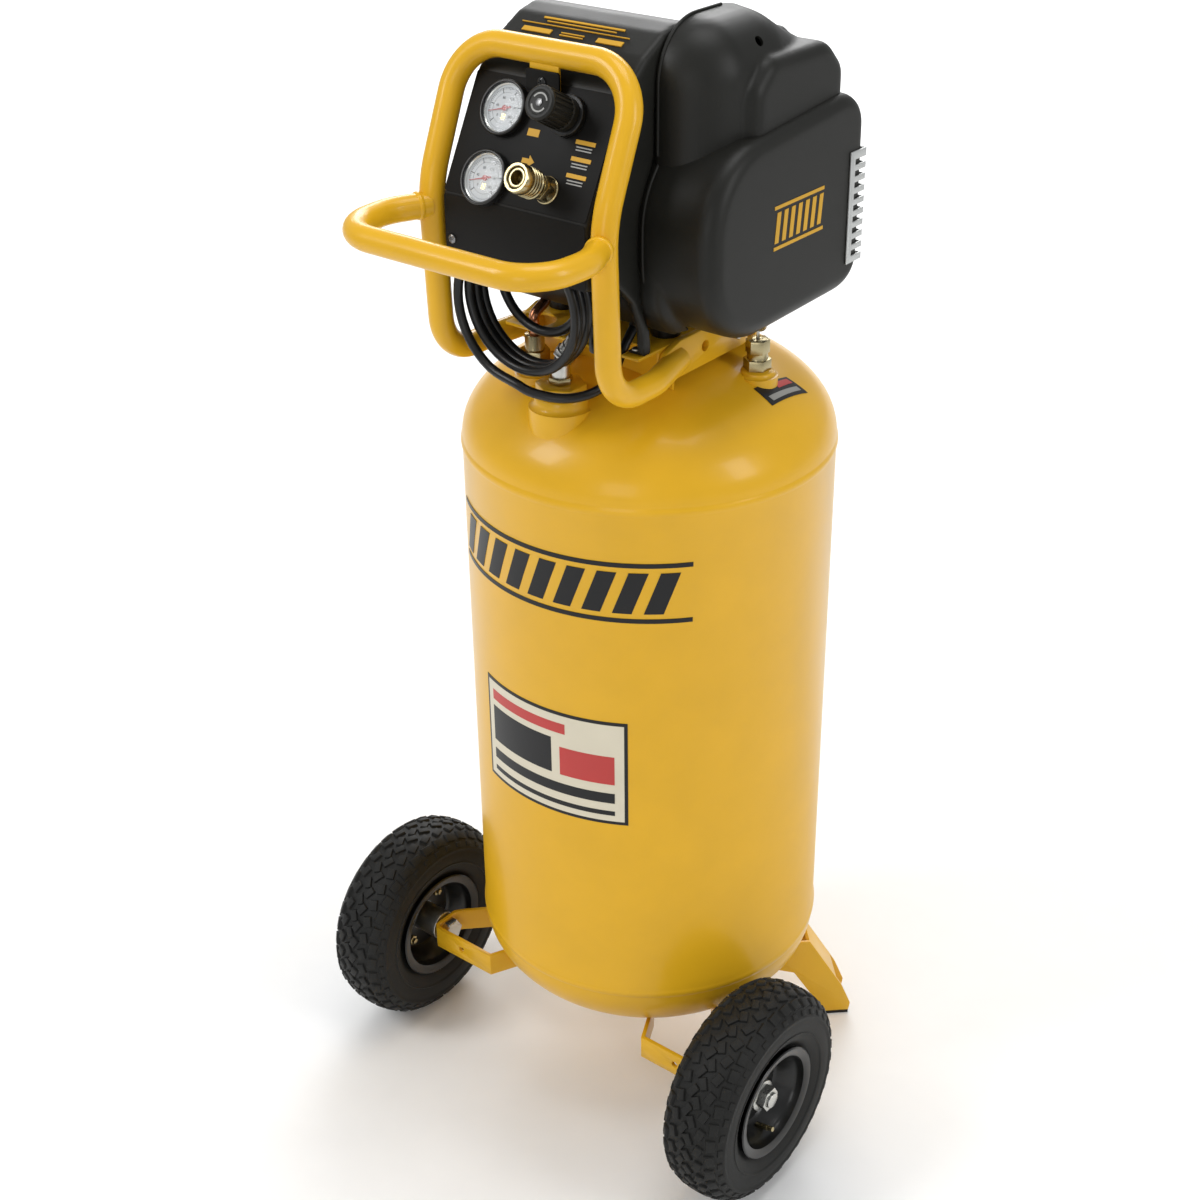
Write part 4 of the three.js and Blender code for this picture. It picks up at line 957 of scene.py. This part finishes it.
def knob():
    x, up = KNOB
    at = on_panel(x, up, 0)
    profile = [
        (0, 7.4), (13.2, 7.4), (14.2, 8.4), (14.2, 14), (13.4, 15), (13.4, 38), (14.1, 39), (14.1, 41.6),
        (12.6, 43), (9.8, 43), (9.4, 42.2), (0, 42.2),
    ]
    shapes = [lathe(profile, at, PANEL_OUT, 64)]
    for i in range(KNOB_RIBS):
        a = 2 * math.pi * i / KNOB_RIBS
        shapes.append(block(13.0, 14.3, -0.9, 0.9, 15, 39, dial_place(x, up, 0, a)))
    piece("regulator_grip", "knob", PLASTIC, shapes, 0.3, replaces=("regulator_knob",))
    arcs = []
    for start in (0.4, 0.4 + math.pi):
        for k in range(ARC_BLOCKS):
            a = start + ARC_SWEEP * k / ARC_BLOCKS
            arcs.append(block(6.6, 7.9, -0.62, 0.62, 42.1, 42.5, dial_place(x, up, 0, a)))
    piece("regulator_arcs", "knob", GREY_INK, arcs)
    stud = hexagon(6, on_panel(x, up, 42.1), on_panel(x, up, 42.9))
    piece("regulator_stud", "knob", STEEL, [stud], 0.2)


knob()
soften("regulator_body", BLACK_PAINT, 0.8)


def coupler():
    at = on_panel(*COUPLER, 0)
    body = [
        (0, -20), (10, -20), (10, 0.4), (11.5, 0.8), (11.5, 2.6), (10.6, 3), (8.6, 15), (8.6, 41.5),
        (7.8, 42.5), (5.6, 42.5), (5.6, 12), (0, 12),
    ]
    shapes = [lathe(body, at, PANEL_OUT, 56), hexagon(19, on_panel(*COUPLER, 3), on_panel(*COUPLER, 15))]
    piece("coupler_core", "machine", BRASS, shapes, 0.4, replaces=("coupler_body",))
    socket = [(0, 12.1), (5.5, 12.1), (5.5, 24), (4.6, 25), (4.6, 26.5), (0, 26.5)]
    piece("coupler_valve", "machine", STEEL, [lathe(socket, at, PANEL_OUT, 40)])
    sleeve = [(9.0, 20), (11.4, 20), (12.4, 21.2), (12.4, 23)]
    for i in range(4):
        low = 24 + 3.2 * i
        sleeve += [(11.7, low), (11.7, low + 1.0), (12.4, low + 1.6), (12.4, low + 2.6)]
    sleeve += [(12.4, 41.6), (11.4, 43.5), (9.6, 43.5), (9.0, 42.8), (9.0, 20)]
    grip = [lathe(sleeve, at, PANEL_OUT, 64)]
    piece("coupler_grip", "sleeve", BRASS, grip, replaces=("coupler_sleeve",), angle=25)


coupler()


# ---- panel prints and screws ----
PRINT_DEPTH = 0.95  # from the panel's own face, so a print stands off the sheet


def panel_block(name, look, x0, x1, up0, up1):
    outline = [(x0, up0), (x1, up0), (x1, up1), (x0, up1)]
    return piece(name, "machine", look, [prism(outline, face_place, PRINT_DEPTH)])


panel_block("unit_block", GOLD_INK, -6, 6, 60, 66)
for i in range(3):
    top = 65 - 13.5 * i
    panel_block(f"notice_{i}", GOLD_INK, 44, 64, top - 3.4, top)
    for line in range(2):
        low = top - 6.2 - 2.4 * line
        panel_block(f"notice_line_{i}_{line}", GREY_INK, 46, 62, low, low + 1)
arrow = [(-5, 38), (2, 38), (2, 35), (8, 40), (2, 45), (2, 42), (-5, 42)]
piece("flow_arrow", "machine", GOLD_INK, [prism([(x + 1, up) for x, up in arrow], face_place, PRINT_DEPTH)])


def screw(name, look, at, direction, radius=4):
    """A cross-slotted screw head with a short shank."""
    head = [
        (0, -2), (radius * 0.5, -2), (radius * 0.5, 0), (radius, 0), (radius * 0.95, 1.2),
        (radius * 0.6, 2.2), (0, 2.4),
    ]
    made = piece(name, "machine", look, [lathe(head, at, direction, 28)])
    place = along(at, direction)
    slots = [
        block(-0.45, 0.45, -radius * 0.6, radius * 0.6, 1.4, 3, place @ Matrix.Rotation(a, 4, "Z"))
        for a in (0, math.pi / 2)
    ]
    cut(made, *slots)
    return finish_piece(made, "machine", look)


screw("screw_panel_left", STEEL, (-68, -181.2, 934), (0, -1, 0))
screw("screw_panel_right", STEEL, (68, -181.2, 934), (0, -1, 0))
screw("screw_panel_top", BLACK_PAINT, (1, -141.2, 1066), (0, -1, 0), 4.5)
screw("screw_leg_foot", ZINC, (65, -102.5, 841.6), (0, 0, 1), 4)


# ---- console top print ----
def console_top_point(x, y):
    """A point on the console's sloping top, between its front crease and its crown."""
    corners = [(-131, 1066), (-105, 1089), (-79, 1103), (-60, 1107.5)]
    for (y0, z0), (y1, z1) in zip(corners, corners[1:]):
        if y0 <= y <= y1:
            return Vector((x, y, z0 + (z1 - z0) * (y - y0) / (y1 - y0)))
    return Vector((x, y, corners[-1][1]))


def top_line(name, x0, x1, y, width):
    """A bar printed on the console's sloping top."""
    a, b = console_top_point(x0, y), console_top_point(x0, y + width)
    c = console_top_point(x1, y + width)
    d = console_top_point(x1, y)
    normal = (d - a).cross(b - a).normalized()
    lifted = [p + normal * h for h in (-0.4, 0.9) for p in (a, b, c, d)]
    faces = [(0, 1, 2, 3), (7, 6, 5, 4), (0, 4, 5, 1), (1, 5, 6, 2), (2, 6, 7, 3), (3, 7, 4, 0)]
    return piece(name, "machine", GOLD_INK, [(lifted, faces)])


for i, (x0, x1, y, width) in enumerate([
    (-44, 40, -84, 1.6), (-38, 34, -87, 0.8), (-62, 50, -90.5, 0.6), (-56, -26, -99, 4.4), (-16, 8, -96, 0.8),
    (-16, 8, -98.5, 0.8), (22, 48, -99, 4.4),
]):
    top_line(f"top_print_{i}", x0, x1, y, width)


# ---- end badge: two lines with slanted blocks between them, on the big end face ----
BADGE_X, BADGE_DEPTH = 150.2, 1.1
BADGE_BLOCKS, BADGE_PITCH = 7, 10.6
badge_outlines = [[(-27, z), (47, z), (47, z + 3), (-27, z + 3)] for z in (960, 925)]
for i in range(BADGE_BLOCKS):
    y = -26 + BADGE_PITCH * i
    badge_outlines.append([(y, 931), (y + 5.6, 931), (y + 8.8, 957), (y + 3.2, 957)])
badge_place = Matrix.Translation((BADGE_X, 0, 0)) @ X_PLACE
badge = [prism(outline, badge_place, BADGE_DEPTH) for outline in badge_outlines]
piece("end_badge", "machine", GOLD_INK, badge)


# ---- wheels ----
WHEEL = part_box("tyre_right")
WHEEL_X = (WHEEL[0][0] + WHEEL[1][0]) / 2 / MM
WHEEL_Y = (WHEEL[0][1] + WHEEL[1][1]) / 2 / MM - AXIS_Y
WHEEL_Z = (WHEEL[0][2] + WHEEL[1][2]) / 2 / MM
LUGS_PER_ROW = 36
LUG_ROWS = [
    # distance across, radius, tilt, width, length, angle, height, whether the outer row is the shifted one
    (3.6, 108.2, 0.04, 7.5, 12.5, 0.5, 2.3, False),
    (14.5, 106.8, 0.27, 8.5, 11.5, -0.35, 2.4, True),
    (25.3, 102.2, 0.72, 9.5, 12.5, 0.12, 2.4, False),
    (32.2, 95.3, 1.0, 5.5, 8, 0, 1.5, True),
]
LUG_SUNK, LUG_FOOT, LUG_TOP = -2.5, 1.12, 0.9  # how deep a lug stands in the tyre, and how it tapers
RIM_BOLTS, BOLT_CIRCLE = 4, 30


def tyre_section():
    """Half the tyre's outside from the bead to the crown, as (radius, distance from the middle)."""
    return [
        (52, 23), (55, 25.5), (58.5, 26), (61, 28.5), (66, 31.5), (72, 34), (79, 35.2), (86, 35), (89, 34.6),
        (90, 35.3), (92, 35.2), (93, 34.2), (97, 31.5), (101.5, 27.5), (105, 21), (107.3, 13), (108.2, 6),
        (108.4, 0),
    ]


def tread_block(centre, place, width, length, angle, height):
    """A lug on the tyre's crown at a distance across it, turned round to its place."""
    across, radius, tilt = centre
    lean = Matrix.Rotation(-tilt, 4, "Y") @ Matrix.Rotation(angle, 4, "X")
    local = Matrix.Translation((radius, 0, across)) @ lean
    corners = ((-1, -1), (1, -1), (1, 1), (-1, 1))
    vertices = []
    for h, k in ((LUG_SUNK, LUG_FOOT), (height, LUG_TOP)):
        for along_y, along_z in corners:
            corner = Vector((h, along_y * length / 2 * k, along_z * width / 2 * k))
            vertices.append(place @ local @ corner)
    faces = [(3, 2, 1, 0), (4, 5, 6, 7), (0, 1, 5, 4), (1, 2, 6, 5), (2, 3, 7, 6), (3, 0, 4, 7)]
    return vertices, faces


def tyre(word, body, centre, out):
    half = tyre_section()
    outside = [(r, -w) for r, w in half] + [(r, w) for r, w in reversed(half[:-1])]
    inside = [(56, 19), (78, 28), (98, 20), (101, 0), (98, -20), (78, -28), (56, -19)]
    carcass = [lathe(outside + inside + [outside[0]], centre, out, 120)]
    piece("tyre_carcass_" + word, body, TYRE, carcass, replaces=("tyre_" + word,), angle=45)
    base = along(centre, out)
    lugs = []
    for i in range(LUGS_PER_ROW):
        place = base @ Matrix.Rotation(2 * math.pi * i / LUGS_PER_ROW, 4, "Z")
        shifted = base @ Matrix.Rotation(2 * math.pi * (i + 0.5) / LUGS_PER_ROW, 4, "Z")
        for across, radius, tilt, width, length, angle, height, swapped in LUG_ROWS:
            outer, inner = (shifted, place) if swapped else (place, shifted)
            lugs.append(tread_block((across, radius, tilt), outer, width, length, angle, height))
            lugs.append(tread_block((-across, radius, -tilt), inner, width, length, -angle, height))
    piece("tyre_tread_" + word, body, TYRE, lugs, 0.35, angle=25)
    ribs = []
    for sign in (-1, 1):
        section = [(72, 33.4), (73, 35), (74.4, 35.4), (75.4, 34.4), (74, 33), (72, 33.4)]
        ribs.append(lathe([(r, sign * w) for r, w in section], centre, out, 96))
    piece("tyre_ribs_" + word, body, TYRE, ribs, angle=50)


def rim(word, body, centre, out):
    section = [
        (16.4, -3), (38, -3), (41, -6), (43, -17), (47, -21), (48.5, -25), (49, -31), (52, -32.8),
        (57.5, -33.4), (58.6, -32.4), (58, -30.8), (54, -29.8), (51.4, -27.5), (50.8, -20), (46, -12),
        (46, 12), (50.8, 20), (51.4, 27.5), (54, 29.8), (58, 30.8), (58.6, 32.4), (57.5, 33.4), (52, 32.8),
        (49, 31), (48.5, 25), (47, 21), (43, 17), (41, 6), (38, 3), (30, 3), (28, 5), (20, 5), (18, 3),
        (16.4, 3), (16.4, -3),
    ]
    shell = [lathe(section, centre, out, 96)]
    piece("rim_shell_" + word, body, BLACK_PAINT, shell, replaces=("rim_" + word,), angle=28)
    base = along(centre, out)
    bolts = []
    for i in range(RIM_BOLTS):
        a = math.pi / 4 + 2 * math.pi / RIM_BOLTS * i
        spot = base @ Vector((BOLT_CIRCLE * math.cos(a), BOLT_CIRCLE * math.sin(a), 0))
        bolts.append(hexagon(10, spot + out * 3, spot + out * 9))
        bolts.append(hexagon(10, spot - out * 3, spot - out * 8))
        bolts.append(rod(3, spot - out * 11, spot + out * 12, 20))
    piece("rim_bolts_" + word, body, BRASS, bolts, 0.4)
    stem_foot = base @ Vector((42, 0, 10))
    stem_tip = base @ Vector((37, 0, 29))
    stem = [rod(3.2, stem_foot, stem_foot.lerp(stem_tip, 0.7), 20, 2.6), rod(2.4, stem_foot, stem_tip, 20)]
    piece("tyre_valve_" + word, body, BRASS, stem, 0.2)


def wheel(side):
    word = "right" if side > 0 else "left"
    body = "wheel_" + word
    centre = Vector((side * WHEEL_X, WHEEL_Y, WHEEL_Z))
    out = Vector((side, 0, 0))
    tyre(word, body, centre, out)
    rim(word, body, centre, out)
    soften("hub_" + word, ZINC, 0.6)
    soften("axle_bolt_" + word, ZINC, 0.6)
    soften("axle_nut_" + word, ZINC, 0.5)


wheel(-1)
wheel(1)

# ---- hardware, pump and lines ----
HARDWARE = {
    "pressure_switch": (BLACK_PAINT, 1.5), "switch_lever": (RED, 0.8), "motor_housing": (CASTING, 1.0),
    "motor_rotor": (STEEL, 0.5), "cooling_fan": (PLASTIC, 0.4), "crankcase": (CASTING, 1.2),
    "eccentric": (STEEL, 0.5), "piston_rod": (CASTING, 0.6), "cylinder_barrel": (CASTING, 0.4),
    "cylinder_head": (CASTING, 0.8), "intake_filter": (PLASTIC, 1.5), "check_valve": (BRASS, 0.6),
    "safety_valve_body": (BRASS, 0.6), "safety_valve_ring": (ZINC, 0.2), "drain_valve_body": (BRASS, 0.6),
    "drain_valve_lever": (RED, 0.5),
}
for node, (look, bevel) in HARDWARE.items():
    soften(node, look, bevel)

DISCHARGE_R, HOSE_R = 4.8, 6.5
DISCHARGE = [
    ((30.7, -28, 1024), 0), ((-20, -28, 1024), 20), ((CHECK[0], -77, 1010), 20), ((CHECK[0], -78, 852), 9),
    ((*CHECK, 844), 7), ((*CHECK, 826.3), 0),
]
discharge = [sweep(bent(DISCHARGE), DISCHARGE_R, 24)]
piece("discharge_run", "machine", COPPER, discharge, replaces=("discharge_tube",), angle=40)
knob_foot = on_panel(31, 51, -36)
knob_end = on_panel(31, 61.5, -36)
HOSE = [
    ((*OUTLET, 803.3), 0), ((*OUTLET, 824), 16), ((29, -120.5, 862), 30), ((31, -120.5, 985), 60),
    (knob_foot, 14), (knob_end, 0),
]
hose = [sweep(bent(HOSE), HOSE_R, 24)]
piece("outlet_hose_run", "machine", RUBBER, hose, replaces=("outlet_hose",), angle=40)
ferrule = [(6.6, 0), (8.2, 0.4), (8.2, 6), (7.4, 7), (7.4, 10), (8.2, 11), (8.2, 15), (6.6, 16), (6.6, 0)]
leaving = Vector((29, 5.5, 38)).normalized()
ferrule_foot = Vector((7, -124.7, 833.2))
piece("hose_ferrule", "machine", ZINC, [lathe(ferrule, ferrule_foot, leaving, 40)], angle=20)
hose_nut = hexagon(18, ferrule_foot - leaving * 7, ferrule_foot - leaving * 0.5)
piece("hose_nut", "machine", ZINC, [hose_nut], 0.6)
stem = [(6.7, 803.4), (7.6, 804), (7.6, 820), (6.7, 821), (6.7, 803.4)]
piece("hose_stem", "machine", ZINC, [lathe(stem, (*OUTLET, 0), (0, 0, 1), 40)], angle=20)
piece("hose_fitting", "machine", BRASS, [hexagon(19, (*OUTLET, 803.4), (*OUTLET, 809))], 0.5)
deck_bolts = [hexagon(12, (x, y, 860.7), (x, y, 867)) for x in (-58, 58) for y in (-50, 52)]
piece("deck_bolts", "machine", ZINC, deck_bolts, 0.5)
side_bolts = [hexagon(11, (side * 82.3, 18, 824), (side * 88, 18, 824)) for side in (-1, 1)]
piece("frame_bolts", "machine", ZINC, side_bolts, 0.5)


# ---- studio ----
FLOOR_HALF = 9
WORLD_STRENGTH = 0.46


def add_floor():
    mesh = bpy.data.meshes.new("floor")
    corners = [(FLOOR_HALF * x, FLOOR_HALF * y, 0) for x, y in ((-1, -1), (1, -1), (1, 1), (-1, 1))]
    mesh.from_pydata(corners, [], [(0, 1, 2, 3)])
    floor = bpy.data.objects.new("floor", mesh)
    bpy.context.scene.collection.objects.link(floor)
    look = material("pale_floor", (0.93, 0.93, 0.92), 0.8, grain=(40, 0.01), mottle=0.008, specular=0.2)
    mesh.materials.append(look)


def add_light(name, at, size, power, target=(0, 0, 0.75)):
    """An area light of that width and height in metres, turned towards the target."""
    data = bpy.data.lights.new(name, "AREA")
    data.shape = "RECTANGLE"
    data.size, data.size_y = size
    data.energy = power
    lamp = bpy.data.objects.new(name, data)
    lamp.location = at
    lamp.rotation_euler = (Vector(target) - Vector(at)).to_track_quat("-Z", "Y").to_euler()
    bpy.context.scene.collection.objects.link(lamp)


add_floor()
add_light("key", (-1.7, -2.4, 2.9), (1.1, 1.5), 46)
add_light("side", (2.9, 0.3, 2.0), (0.8, 1.6), 24)
add_light("front", (1.2, -3.2, 1.3), (1.2, 1.4), 12)
add_light("top", (0.3, 0.2, 3.4), (1.4, 1.4), 26)
add_light("back", (-1.8, 2.4, 2.4), (1.4, 1.4), 22)
add_light("backdrop", (-4.2, 5.6, 4.0), (7.0, 4.0), 420, (-4.2, 5.8, 0))
world = bpy.data.worlds.new("studio")
world.use_nodes = True
world.node_tree.nodes["Background"].inputs["Color"].default_value = (0.97, 0.98, 1.0, 1)
world.node_tree.nodes["Background"].inputs["Strength"].default_value = WORLD_STRENGTH
bpy.context.scene.world = world
bpy.context.scene.view_settings.view_transform = "Standard"
